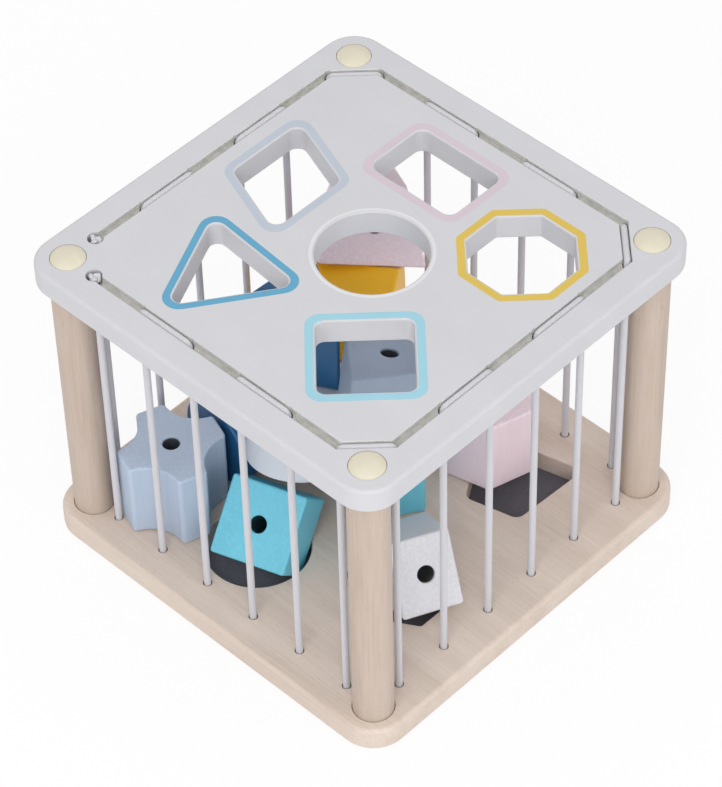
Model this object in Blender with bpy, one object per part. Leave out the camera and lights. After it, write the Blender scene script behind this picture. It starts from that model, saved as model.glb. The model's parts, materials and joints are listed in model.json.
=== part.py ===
"""Wooden shape sorting cube: two square plates on four dowel posts, laced round with an elastic cord,
with twelve drilled wooden blocks lying in a heap inside the cage.

Metres, +Z up. The origin lies on the floor under the middle of the base plate, and the plates' edges
run along X and Y. The two knots of the cord are at the corner (-X, -Y).
"""

import math

import bmesh
import bpy
from mathutils import Vector

# Fits between pieces
FIT_GAP = 0.0003
CUT_MARGIN = 0.002

# Base plate
BASE_SIDE = 0.180
BASE_THICKNESS = 0.011
BASE_CORNER_RADIUS = 0.015
BASE_EDGE_RADIUS = 0.002

# Bottom panel, let into the underside of the base plate
PANEL_MARGIN = 0.006
PANEL_THICKNESS = 0.0014
PANEL_CORNER_RADIUS = 0.009

# Top plate
TOP_SIDE = 0.179
TOP_THICKNESS = 0.011
TOP_CORNER_RADIUS = 0.0135
TOP_EDGE_RADIUS = 0.0016
CLEAR_HEIGHT = 0.1235

# Posts, caps and screws
POST_PITCH = 0.153
POST_DIAMETER = 0.016
POST_SOCKET_DEPTH = 0.005
POST_TOP_SOCKET_DEPTH = 0.0027
POST_PILOT_DEPTH = 0.024
CAP_DIAMETER = 0.014
CAP_SEAT_DEPTH = 0.004
CAP_DOME_HEIGHT = 0.0015
SCREW_HEAD_DIAMETER = 0.0076
SCREW_HEAD_HEIGHT = 0.0022
SCREW_DIAMETER = 0.0039
SCREW_LENGTH = 0.022
SCREW_RECESS_WIDTH = 0.001
SCREW_RECESS_SPAN = 0.0042
SCREW_RECESS_DEPTH = 0.0014

# Elastic cord, its holes and its grooves
CORD_DIAMETER = 0.0028
CORD_HOLE_DIAMETER = 0.0038
POST_TO_HOLE = 0.014
HOLES_PER_SIDE = 6
GROOVE_WIDTH = 0.0034
CORD_BEND_RADIUS = 0.002
CORD_SINK = 0.0002
KNOT_DIAMETER = 0.0054
KNOT_SINK = 0.0016
KNOT_BORE_DIAMETER = 0.0064

# Openings in the top plate
OPENING_EDGE = 0.0006
TRIANGLE_OPENING_SIDE = 0.0483
TRIANGLE_OPENING_RADIUS = 0.0035
RHOMBUS_OPENING_SIDE = 0.036
RHOMBUS_ANGLE = 70.0
RHOMBUS_OPENING_RADIUS = 0.004
OBLONG_OPENING_LENGTH = 0.0415
OBLONG_OPENING_WIDTH = 0.029
OBLONG_OPENING_RADIUS = 0.004
OCTAGON_OPENING_ACROSS = 0.0405
OCTAGON_OPENING_RADIUS = 0.0012
ROUND_OPENING_DIAMETER = 0.0433
SQUARE_OPENING_SIDE = 0.036
SQUARE_OPENING_RADIUS = 0.0035

# Cut-outs in the base plate
BASE_ROUND_DIAMETER = 0.0425
BASE_HEXAGON_ACROSS = 0.040
BASE_TRAPEZOID_LONG = 0.0452
BASE_TRAPEZOID_SHORT = 0.0237
BASE_TRAPEZOID_HEIGHT = 0.0352
BASE_CUT_RADIUS = 0.004
BASE_STAR_CLEARANCE = 0.0012

# Blocks
BLOCK_LENGTH = 0.036
SHORT_BLOCK_LENGTH = 0.034
WHITE_OBLONG_BLOCK_LENGTH = 0.028
SQUARE_BLOCK_LENGTH = 0.022
BLOCK_BORE = 0.007
BLOCK_EDGE = 0.001
BLOCK_CORNER_RADIUS = 0.0012
STAR_TIP_RADIUS = 0.0208
STAR_TIP_WIDTH = 0.0125
STAR_HOLLOW = 0.0042
SMALL_ROUND_DIAMETER = 0.038
LARGE_ROUND_DIAMETER = 0.040
SQUARE_SIDE = 0.032
WHITE_OBLONG_LENGTH = 0.031
WHITE_OBLONG_WIDTH = 0.025
CYAN_OBLONG_LENGTH = 0.035
CYAN_OBLONG_WIDTH = 0.027
HEXAGON_ACROSS = 0.038
OCTAGON_ACROSS = 0.0385
TRIANGLE_SIDE = 0.044
RHOMBUS_SIDE = 0.034
TRAPEZOID_LONG = 0.0435
TRAPEZOID_SHORT = 0.0225
TRAPEZOID_HEIGHT = 0.033

# Places of the openings' centres in the top plate
TRIANGLE_OPENING_PLACE = (-0.0294, -0.0410)
RHOMBUS_OPENING_PLACE = (-0.0480, 0.0100)
OBLONG_OPENING_PLACE = (-0.0078, 0.0495)
OCTAGON_OPENING_PLACE = (0.0460, 0.0383)
ROUND_OPENING_PLACE = (0.0046, 0.0017)
SQUARE_OPENING_PLACE = (0.0395, -0.0385)

# Places of the cut-outs' centres in the base plate
BASE_ROUND_PLACE = (-0.0115, -0.0498)
BASE_HEXAGON_PLACE = (0.0433, -0.0245)
BASE_TRAPEZOID_PLACE = (0.0381, 0.0443)
BASE_STAR_PLACE = (-0.0380, 0.0380)

# Places of the blocks' centres in the heap, with the height above the base plate
STAR_BLUE_PLACE = (-0.0505, -0.0565)
ROUND_PETROL_PLACE = (-0.0478, -0.0160)
SQUARE_CYAN_PLACE = (-0.0100, -0.0455, 0.0100)
OBLONG_WHITE_PLACE = (0.0475, -0.0224, 0.0114)
OBLONG_CYAN_PLACE = (0.0028, 0.0065)
HEXAGON_PINK_PLACE = (0.0209, 0.0486)
OCTAGON_YELLOW_LOW_PLACE = (-0.0360, 0.0290)
ROUND_WHITE_PLACE = (-0.0144, -0.0214, 0.0498)
OCTAGON_YELLOW_HIGH_PLACE = (-0.0346, 0.0297, 0.0567)
TRIANGLE_PETROL_PLACE = (-0.0242, -0.0122, 0.0857)
RHOMBUS_BLUE_PLACE = (0.0216, -0.0109, 0.0819)
TRAPEZOID_PINK_PLACE = (-0.0479, 0.0536, 0.0834)

# The cord runs on the posts' centre lines, and its holes share the length between them evenly
CORD_LINE_SPAN = POST_PITCH
CORD_HOLE_PITCH = (CORD_LINE_SPAN - 2 * POST_TO_HOLE) / (HOLES_PER_SIDE - 1)

# Heights that follow from the sizes above
TOP_UNDER = BASE_THICKNESS + CLEAR_HEIGHT
TOP_FACE = TOP_UNDER + TOP_THICKNESS
REBATE_DEPTH = PANEL_THICKNESS + FIT_GAP
CORD_RADIUS = CORD_DIAMETER / 2
TOP_RUN_HEIGHT = TOP_FACE - CORD_SINK - CORD_RADIUS
UNDER_RUN_HEIGHT = REBATE_DEPTH + FIT_GAP + CORD_RADIUS
TOP_GROOVE_FLOOR = TOP_RUN_HEIGHT - CORD_RADIUS - FIT_GAP
UNDER_GROOVE_CEILING = UNDER_RUN_HEIGHT + CORD_RADIUS + FIT_GAP
SCREW_HEAD_SEAT = TOP_FACE - CAP_SEAT_DEPTH - SCREW_HEAD_HEIGHT - FIT_GAP
BASE_SOCKET_FLOOR = BASE_THICKNESS - POST_SOCKET_DEPTH
TOP_SOCKET_CEILING = TOP_UNDER + POST_TOP_SOCKET_DEPTH
KNOT_HEIGHT = TOP_FACE - KNOT_SINK


def clear_scene():
    """Remove what the file holds before the object is made."""
    for obj in list(bpy.data.objects):
        bpy.data.objects.remove(obj, do_unlink=True)


def linear(value):
    """One sRGB channel from 0 to 1 as linear light."""
    if value <= 0.04045:
        return value / 12.92
    return ((value + 0.055) / 1.055) ** 2.4


def material(name, colour, roughness, metallic=0.0):
    """A Principled material from a six-digit sRGB colour."""
    made = bpy.data.materials.new(name)
    made.use_nodes = True
    shader = made.node_tree.nodes["Principled BSDF"]
    channels = [linear(int(colour[i:i + 2], 16) / 255) for i in (0, 2, 4)]
    shader.inputs["Base Color"].default_value = (*channels, 1.0)
    shader.inputs["Roughness"].default_value = roughness
    shader.inputs["Metallic"].default_value = metallic
    return made


def finish(name, bm, finish_material, cutter=False):
    """Turn a bmesh into an object with outward faces, smooth where the surface is round."""
    bmesh.ops.recalc_face_normals(bm, faces=bm.faces)
    mesh = bpy.data.meshes.new(name)
    bm.to_mesh(mesh)
    bm.free()
    mesh.shade_smooth()
    mesh.set_sharp_from_angle(angle=math.radians(32))
    obj = bpy.data.objects.new(name, mesh)
    bpy.context.scene.collection.objects.link(obj)
    if cutter:
        obj.hide_render = True
        obj.display_type = "WIRE"
    else:
        mesh.materials.append(finish_material)
    return obj


def cut(target, cutter):
    """Take the cutter's shape out of the target."""
    step = target.modifiers.new(cutter.name, "BOOLEAN")
    step.operation = "DIFFERENCE"
    step.solver = "EXACT"
    step.object = cutter


def add_loft(bm, rings, closed=False):
    """Skin rings of equal count; the two ends are capped, or joined when closed."""
    made = [[bm.verts.new(point) for point in ring] for ring in rings]
    count = len(made[0])
    pairs = list(zip(made, made[1:]))
    if closed:
        pairs.append((made[-1], made[0]))
    for low, high in pairs:
        for i in range(count):
            j = (i + 1) % count
            bm.faces.new((low[i], low[j], high[j], high[i]))
    if not closed:
        bm.faces.new(list(reversed(made[0])))
        bm.faces.new(made[-1])


def circle(radius, sides, centre=(0.0, 0.0)):
    """Points of a circle, counterclockwise."""
    steps = [2 * math.pi * k / sides for k in range(sides)]
    return [Vector((centre[0] + radius * math.cos(a), centre[1] + radius * math.sin(a))) for a in steps]


def add_lathe(bm, profile, sides, centre=(0.0, 0.0), closed=False):
    """Turn a profile of (radius, height) about a vertical axis; a closed profile makes a tube."""
    if closed:
        rings = [[(*p, z) for p in circle(r, sides, centre)] for r, z in profile]
        add_loft(bm, rings, closed=True)
        return
    rings = [[(*p, z) for p in circle(r, sides, centre)] for r, z in profile if r > 0]
    made = [[bm.verts.new(point) for point in ring] for ring in rings]
    for low, high in zip(made, made[1:]):
        for i in range(sides):
            j = (i + 1) % sides
            bm.faces.new((low[i], low[j], high[j], high[i]))
    bm.faces.new(list(reversed(made[0])))
    bm.faces.new(made[-1])


def polygon(corners):
    """Corner pairs as vectors."""
    return [Vector(corner) for corner in corners]


def turned(outline, degrees, centre=(0.0, 0.0)):
    """The outline turned about its own origin and moved to a centre."""
    c, s = math.cos(math.radians(degrees)), math.sin(math.radians(degrees))
    return [Vector((centre[0] + c * p.x - s * p.y, centre[1] + s * p.x + c * p.y)) for p in outline]


def rounded(corners, radius, steps):
    """A counterclockwise polygon with every corner filleted."""
    points = []
    count = len(corners)
    for i, corner in enumerate(corners):
        back = (corners[i - 1] - corner).normalized()
        ahead = (corners[(i + 1) % count] - corner).normalized()
        half = back.angle(ahead) / 2
        centre = corner + (back + ahead).normalized() * (radius / math.sin(half))
        start = corner + back * (radius / math.tan(half)) - centre
        sweep = math.pi - 2 * half
        if back.x * ahead.y - back.y * ahead.x > 0:
            sweep = -sweep
        for k in range(steps + 1):
            angle = sweep * k / steps
            c, s = math.cos(angle), math.sin(angle)
            points.append(centre + Vector((c * start.x - s * start.y, s * start.x + c * start.y)))
    return points


def grown(outline, distance):
    """The outline moved outwards by a distance, with mitred corners."""
    points = []
    count = len(outline)
    for i, point in enumerate(outline):
        before = (point - outline[i - 1]).normalized()
        after = (outline[(i + 1) % count] - point).normalized()
        first = Vector((before.y, -before.x))
        second = Vector((after.y, -after.x))
        points.append(point + (first + second) * (distance / (1 + first.dot(second))))
    return points


def add_prism(bm, outline, low, high, edge=0.0, steps=2):
    """A prism between two heights, its end edges rounded by the edge radius."""
    rings = []
    if edge:
        for k in range(steps + 1):
            angle = math.pi / 2 * k / steps
            inset = edge * (1 - math.sin(angle))
            rings.append((low + edge * (1 - math.cos(angle)), inset))
        for k in range(steps + 1):
            angle = math.pi / 2 * (1 - k / steps)
            inset = edge * (1 - math.sin(angle))
            rings.append((high - edge * (1 - math.cos(angle)), inset))
    else:
        rings = [(low, 0.0), (high, 0.0)]
    shapes = [[(*p, z) for p in (grown(outline, -inset) if inset else outline)] for z, inset in rings]
    add_loft(bm, shapes)


def add_flared_cut(bm, outline, low, high, flare, flare_low=False):
    """A cutter for an opening whose upper edge, and lower one if asked, is eased."""
    rings = []
    if flare_low:
        rings.append((low - CUT_MARGIN, flare + CUT_MARGIN))
        rings.append((low + flare, 0.0))
    else:
        rings.append((low - CUT_MARGIN, 0.0))
    rings.append((high - flare, 0.0))
    rings.append((high + CUT_MARGIN, flare + CUT_MARGIN))
    add_loft(bm, [[(*p, z) for p in (grown(outline, out) if out else outline)] for z, out in rings])


def square(side):
    """A square about the origin."""
    return oblong(side, side)


def oblong(length, width):
    """A rectangle about the origin, its length along X."""
    a, b = length / 2, width / 2
    return polygon([(-a, -b), (a, -b), (a, b), (-a, b)])


def regular(sides, across, first):
    """A regular polygon from its width across the flats and the angle of its first corner."""
    radius = across / 2 / math.cos(math.pi / sides)
    return turned(circle(radius, sides), first)


def triangle(side):
    """An equal-sided triangle with one corner on +Y."""
    return turned(circle(side / math.sqrt(3), 3), 90)


def rhombus(side, degrees):
    """A rhombus about the origin with two sides along X."""
    rise = Vector((math.cos(math.radians(degrees)), math.sin(math.radians(degrees)))) * side
    run = Vector((side, 0.0))
    middle = (run + rise) / 2
    return [Vector((0.0, 0.0)) - middle, run - middle, run + rise - middle, rise - middle]


def trapezoid(long_side, short_side, height):
    """An even trapezoid with its long side towards -Y."""
    a, b, h = long_side / 2, short_side / 2, height / 2
    return polygon([(-a, -h), (a, -h), (b, h), (-b, h)])


def star(tip_radius, tip_width, hollow, steps=6):
    """A four-pointed star with blunt tips and hollow sides; the hollows face X and Y."""
    far = (math.sqrt(2) * tip_radius + tip_width / math.sqrt(2)) / 2
    near = (math.sqrt(2) * tip_radius - tip_width / math.sqrt(2)) / 2
    radius = (hollow ** 2 + near ** 2) / (2 * hollow)
    middle = far - hollow + radius
    half = math.asin(near / radius)
    side = []
    for k in range(steps + 1):
        angle = -half + 2 * half * k / steps
        side.append(Vector((middle - radius * math.cos(angle), radius * math.sin(angle))))
    outline = []
    for quarter in range(4):
        outline += turned(side, 90 * quarter)
    return outline


# Finishes
BEECH = material("natural_beech", "d3c0ad", 0.55)
DOWEL = material("natural_dowel", "d6c3ae", 0.5)
TOP_PAINT = material("pale_grey_paint", "d8d8dc", 0.45)
PANEL_GREY = material("dark_panel", "46434c", 0.8)
CAP_CREAM = material("cream_cap", "e8e2c6", 0.35)
STEEL = material("zinc_steel", "b9bcc0", 0.35, 1.0)
CORD_WHITE = material("white_elastic", "e6e4ea", 0.8)
GREY_BLUE = material("grey_blue_paint", "b3c2d6", 0.45)
PETROL = material("petrol_paint", "1f5d8c", 0.4)
CYAN = material("cyan_paint", "6cc5dc", 0.42)
WHITE = material("white_paint", "e9e9ee", 0.42)
PINK = material("pink_paint", "d9c1cd", 0.45)
YELLOW = material("yellow_paint", "e0a526", 0.42)


def cord_holes():
    """Centres of the cord holes in lacing order, from one knot round to the other."""
    line = CORD_LINE_SPAN / 2
    first = -CORD_HOLE_PITCH * (HOLES_PER_SIDE - 1) / 2
    along = [first + CORD_HOLE_PITCH * k for k in range(HOLES_PER_SIDE)]
    side = [Vector((u, -line)) for u in along]
    holes = []
    for quarter in range(4):
        holes += turned(side, 90 * quarter)
    return holes


def post_centres():
    """Centres of the four posts."""
    reach = POST_PITCH / 2
    return {
        "left": (-reach, -reach),
        "front": (reach, -reach),
        "right": (reach, reach),
        "back": (-reach, reach),
    }


def add_slot(bm, start, end, width, low, high):
    """A straight slot between two points."""
    along = (end - start).normalized()
    across = Vector((-along.y, along.x)) * (width / 2)
    add_prism(bm, [start - across, end - across, end + across, start + across], low, high)


def make_hole_cutter(name, radius, centres, low, high, sides):
    """One cutter of several round holes."""
    bm = bmesh.new()
    for centre in centres:
        add_prism(bm, circle(radius, sides, centre), low, high)
    return finish(name, bm, None, cutter=True)


def top_openings():
    """Outlines of the six openings in the top plate."""
    triangle_sharp = turned(triangle(TRIANGLE_OPENING_SIDE), 175, TRIANGLE_OPENING_PLACE)
    rhombus_sharp = turned(rhombus(RHOMBUS_OPENING_SIDE, RHOMBUS_ANGLE), -90, RHOMBUS_OPENING_PLACE)
    return [
        rounded(triangle_sharp, TRIANGLE_OPENING_RADIUS, 4),
        rounded(rhombus_sharp, RHOMBUS_OPENING_RADIUS, 3),
        rounded(
            turned(oblong(OBLONG_OPENING_LENGTH, OBLONG_OPENING_WIDTH), 0, OBLONG_OPENING_PLACE),
            OBLONG_OPENING_RADIUS,
            3,
        ),
        rounded(
            turned(regular(8, OCTAGON_OPENING_ACROSS, 22.5), 0, OCTAGON_OPENING_PLACE),
            OCTAGON_OPENING_RADIUS,
            2,
        ),
        circle(ROUND_OPENING_DIAMETER / 2, 32, ROUND_OPENING_PLACE),
        rounded(
            turned(square(SQUARE_OPENING_SIDE), 45, SQUARE_OPENING_PLACE),
            SQUARE_OPENING_RADIUS,
            3,
        ),
    ]


def base_openings():
    """Outlines of the cut-outs in the base plate, which go down to the bottom panel."""
    trapezoid_sharp = trapezoid(BASE_TRAPEZOID_LONG, BASE_TRAPEZOID_SHORT, BASE_TRAPEZOID_HEIGHT)
    star_sharp = grown(star(STAR_TIP_RADIUS, STAR_TIP_WIDTH, STAR_HOLLOW), BASE_STAR_CLEARANCE)
    return [
        circle(BASE_ROUND_DIAMETER / 2, 28, BASE_ROUND_PLACE),
        rounded(turned(regular(6, BASE_HEXAGON_ACROSS, 30), 0, BASE_HEXAGON_PLACE), 0.0015, 2),
        rounded(turned(trapezoid_sharp, 194, BASE_TRAPEZOID_PLACE), BASE_CUT_RADIUS, 3),
        turned(star_sharp, 10, BASE_STAR_PLACE),
    ]


def make_base():
    """The base plate with its sockets, cord holes, cut-outs and the rebate for the panel."""
    bm = bmesh.new()
    outline = rounded(square(BASE_SIDE), BASE_CORNER_RADIUS, 5)
    add_prism(bm, outline, 0.0, BASE_THICKNESS, BASE_EDGE_RADIUS, 2)
    base = finish("base_plate", bm, BEECH)

    bm = bmesh.new()
    rebate = rounded(square(BASE_SIDE - 2 * PANEL_MARGIN), PANEL_CORNER_RADIUS, 5)
    add_prism(bm, rebate, -CUT_MARGIN, REBATE_DEPTH)
    cut(base, finish("cut_base_rebate", bm, None, cutter=True))

    bm = bmesh.new()
    for opening in base_openings():
        add_flared_cut(bm, opening, 0.0, BASE_THICKNESS, OPENING_EDGE)
    cut(base, finish("cut_base_openings", bm, None, cutter=True))

    socket = POST_DIAMETER / 2 + FIT_GAP
    high = BASE_THICKNESS + CUT_MARGIN
    centres = post_centres().values()
    cut(base, make_hole_cutter("cut_base_sockets", socket, centres, BASE_SOCKET_FLOOR, high, 20))

    bm = bmesh.new()
    holes = cord_holes()
    for start, end in zip(holes[0::2], holes[1::2]):
        add_slot(bm, start, end, GROOVE_WIDTH, REBATE_DEPTH - CUT_MARGIN / 2, UNDER_GROOVE_CEILING)
    cut(base, finish("cut_base_grooves", bm, None, cutter=True))

    radius = CORD_HOLE_DIAMETER / 2
    cut(base, make_hole_cutter("cut_base_cord_holes", radius, holes, 0.0001, high, 10))
    return base


def make_panel():
    """The thin dark panel under the base plate."""
    bm = bmesh.new()
    side = BASE_SIDE - 2 * PANEL_MARGIN - 2 * FIT_GAP
    add_prism(bm, rounded(square(side), PANEL_CORNER_RADIUS - FIT_GAP, 5), 0.0, PANEL_THICKNESS)
    return finish("bottom_panel", bm, PANEL_GREY)


def add_groove(bm, route, width, low, high):
    """A trench along an open route of straight stretches with mitred turns."""
    rings = []
    for i, point in enumerate(route):
        before = (point - route[max(i - 1, 0)]).normalized()
        after = (route[min(i + 1, len(route) - 1)] - point).normalized()
        if i == 0:
            before = after
        if i == len(route) - 1:
            after = before
        first = Vector((-before.y, before.x))
        second = Vector((-after.y, after.x))
        across = (first + second) * (width / 2 / (1 + first.dot(second)))
        soft = across * 0.6
        rings.append(
            [
                (*(point - across), high),
                (*(point - across), low + width * 0.2),
                (*(point - soft), low),
                (*(point + soft), low),
                (*(point + across), low + width * 0.2),
                (*(point + across), high),
            ]
        )
    add_loft(bm, rings)


def make_top():
    """The painted top plate with its openings, cord groove, cap seats and post sockets."""
    bm = bmesh.new()
    outline = rounded(square(TOP_SIDE), TOP_CORNER_RADIUS, 5)
    add_prism(bm, outline, TOP_UNDER, TOP_FACE, TOP_EDGE_RADIUS, 2)
    top = finish("top_plate", bm, TOP_PAINT)

    bm = bmesh.new()
    for opening in top_openings():
        add_flared_cut(bm, opening, TOP_UNDER, TOP_FACE, OPENING_EDGE, flare_low=True)
    cut(top, finish("cut_top_openings", bm, None, cutter=True))

    above = TOP_FACE + CUT_MARGIN
    below = TOP_UNDER - CUT_MARGIN
    centres = list(post_centres().values())
    steps = [
        ("cut_post_sockets", POST_DIAMETER / 2 + FIT_GAP, below, TOP_SOCKET_CEILING, 20),
        ("cut_cap_seats", CAP_DIAMETER / 2 + FIT_GAP / 2, TOP_FACE - CAP_SEAT_DEPTH, above, 20),
        ("cut_head_seats", SCREW_HEAD_DIAMETER / 2 + FIT_GAP, SCREW_HEAD_SEAT - FIT_GAP, above, 12),
        ("cut_screw_holes", SCREW_DIAMETER / 2 + FIT_GAP, below, above, 8),
    ]
    for name, radius, low, high, sides in steps:
        cut(top, make_hole_cutter(name, radius, centres, low, high, sides))

    bm = bmesh.new()
    holes = cord_holes()
    last = HOLES_PER_SIDE - 1
    route = []
    for quarter in range(4):
        route += [holes[quarter * HOLES_PER_SIDE], holes[quarter * HOLES_PER_SIDE + last]]
    add_groove(bm, route, GROOVE_WIDTH, TOP_GROOVE_FLOOR, above)
    cut(top, finish("cut_top_groove", bm, None, cutter=True))

    cut(top, make_hole_cutter("cut_top_cord_holes", CORD_HOLE_DIAMETER / 2, holes, below, above, 10))
    floor = KNOT_HEIGHT - KNOT_DIAMETER / 2 - FIT_GAP
    ends = [holes[0], holes[-1]]
    cut(top, make_hole_cutter("cut_knot_bores", KNOT_BORE_DIAMETER / 2, ends, floor, above, 16))
    return top


def make_posts():
    """Four dowels, glued at the foot and drilled at the top for their screws."""
    low = BASE_SOCKET_FLOOR + FIT_GAP
    high = TOP_SOCKET_CEILING - FIT_GAP
    radius = POST_DIAMETER / 2
    ease = 0.0004
    pilot = SCREW_DIAMETER / 2 + FIT_GAP
    for name, centre in post_centres().items():
        bm = bmesh.new()
        profile = [
            (radius - ease, low),
            (radius, low + ease),
            (radius, high - ease),
            (radius - ease, high),
            (pilot, high),
            (pilot, high - POST_PILOT_DEPTH),
        ]
        add_lathe(bm, profile, 20)
        post = finish("post_" + name, bm, DOWEL)
        post.location = (*centre, 0.0)


def make_caps():
    """Four domed caps that hide the screw heads."""
    radius = CAP_DIAMETER / 2 - FIT_GAP / 2
    low = TOP_FACE - CAP_SEAT_DEPTH + FIT_GAP
    for name, centre in post_centres().items():
        bm = bmesh.new()
        profile = [(radius - 0.0004, low), (radius, low + 0.0004), (radius, TOP_FACE)]
        for k in range(1, 4):
            angle = math.pi / 2 * k / 4
            profile.append((radius * math.cos(angle), TOP_FACE + CAP_DOME_HEIGHT * math.sin(angle)))
        add_lathe(bm, profile, 20)
        cap = finish("cap_" + name, bm, CAP_CREAM)
        cap.location = (*centre, 0.0)


def make_screws():
    """Four wood screws with a crossed recess, from the top plate into the posts."""
    seat = SCREW_HEAD_SEAT
    head_top = seat + SCREW_HEAD_HEIGHT
    shank = SCREW_DIAMETER / 2
    head = SCREW_HEAD_DIAMETER / 2
    arm = SCREW_RECESS_SPAN / 2
    half = SCREW_RECESS_WIDTH / 2
    cross = [(half, -arm), (half, -half), (arm, -half), (arm, half), (half, half), (half, arm)]
    cross += [(-x, -y) for x, y in cross]
    bm = bmesh.new()
    add_prism(bm, polygon(cross), head_top - SCREW_RECESS_DEPTH, head_top + CUT_MARGIN)
    cross_cutter = finish("cut_screw_recess", bm, None, cutter=True)
    for name, centre in post_centres().items():
        bm = bmesh.new()
        profile = [
            (shank * 0.15, seat - SCREW_LENGTH),
            (shank, seat - SCREW_LENGTH * 0.85),
            (shank, seat),
            (head, seat),
            (head, seat + SCREW_HEAD_HEIGHT * 0.6),
            (head * 0.8, head_top),
        ]
        add_lathe(bm, profile, 12)
        screw = finish("screw_" + name, bm, STEEL)
        screw.location = (*centre, 0.0)
        tool = cross_cutter.copy()
        tool.name = "cut_screw_recess_" + name
        tool.location = (*centre, 0.0)
        bpy.context.scene.collection.objects.link(tool)
        cut(screw, tool)


def bent(corners, radius, steps):
    """A route through corner points with every corner turned on a radius."""
    points = [corners[0]]
    for before, corner, after in zip(corners, corners[1:], corners[2:]):
        back = (before - corner).normalized()
        ahead = (after - corner).normalized()
        half = back.angle(ahead) / 2
        centre = corner + (back + ahead).normalized() * (radius / math.sin(half))
        start = corner + back * (radius / math.tan(half)) - centre
        end = corner + ahead * (radius / math.tan(half)) - centre
        for k in range(steps + 1):
            points.append(centre + start.slerp(end, k / steps).normalized() * radius)
    points.append(corners[-1])
    return points


def add_tube(bm, points, radii, sides):
    """A tube along points, its rings carried round each turn without twist."""
    tangents = []
    for i in range(len(points)):
        tangents.append((points[min(i + 1, len(points) - 1)] - points[max(i - 1, 0)]).normalized())
    normal = tangents[0].orthogonal().normalized()
    rings = []
    for i, point in enumerate(points):
        if i:
            normal = tangents[i - 1].rotation_difference(tangents[i]) @ normal
        normal = (normal - tangents[i] * normal.dot(tangents[i])).normalized()
        other = tangents[i].cross(normal)
        steps = [2 * math.pi * k / sides for k in range(sides)]
        rings.append([point + (normal * math.cos(a) + other * math.sin(a)) * radii[i] for a in steps])
    add_loft(bm, rings)


def make_cord():
    """The elastic cord, one length laced through every hole, with a knot at each end."""
    holes = cord_holes()
    knot = KNOT_DIAMETER / 2
    low_angle = -math.acos(CORD_RADIUS / knot)
    high_angle = math.radians(72)
    ball = [low_angle + (high_angle - low_angle) * k / 5 for k in range(6)]
    neck = KNOT_HEIGHT + knot * math.sin(low_angle)
    corners = []
    for i, hole in enumerate(holes):
        high = Vector((*hole, TOP_RUN_HEIGHT if 0 < i < len(holes) - 1 else neck))
        low = Vector((*hole, UNDER_RUN_HEIGHT))
        corners += [high, low] if i % 2 == 0 else [low, high]
    middle = bent(corners, CORD_BEND_RADIUS, 2)
    rising = [(knot * math.cos(a), KNOT_HEIGHT + knot * math.sin(a)) for a in ball]
    points = [Vector((*holes[0], z)) for _, z in reversed(rising[1:])]
    points += middle
    points += [Vector((*holes[-1], z)) for _, z in rising[1:]]
    radii = [r for r, _ in reversed(rising[1:])]
    radii += [CORD_RADIUS] * len(middle)
    radii += [r for r, _ in rising[1:]]
    bm = bmesh.new()
    add_tube(bm, points, radii, 8)
    length = sum((b - a).length for a, b in zip(points, points[1:]))
    print("elastic cord length between knots: %.3f m" % length)
    return finish("elastic_cord", bm, CORD_WHITE)


def add_block(bm, outline, length):
    """A block's solid about its own centre, its axis along Z."""
    add_prism(bm, outline, -length / 2, length / 2, BLOCK_EDGE, 2)


def make_block(name, section, length, place, turn, paint):
    """A drilled prismatic block, placed in the heap by its centre above the base plate."""
    bm = bmesh.new()
    add_block(bm, section, length)
    block = finish(name, bm, paint)
    bm = bmesh.new()
    ease = BLOCK_EDGE / 2
    radius = BLOCK_BORE / 2
    profile = [
        (radius + ease + CUT_MARGIN, -length / 2 - CUT_MARGIN),
        (radius, -length / 2 + ease),
        (radius, length / 2 - ease),
        (radius + ease + CUT_MARGIN, length / 2 + CUT_MARGIN),
    ]
    add_lathe(bm, profile, 12)
    bore = finish("cut_" + name, bm, None, cutter=True)
    bore.parent = block
    block.location = (place[0], place[1], place[2] + BASE_THICKNESS)
    block.rotation_euler = [math.radians(angle) for angle in turn]
    cut(block, bore)
    return block


def soft(section):
    """A section with its long edges rounded."""
    return rounded(section, BLOCK_CORNER_RADIUS, 2)


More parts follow.
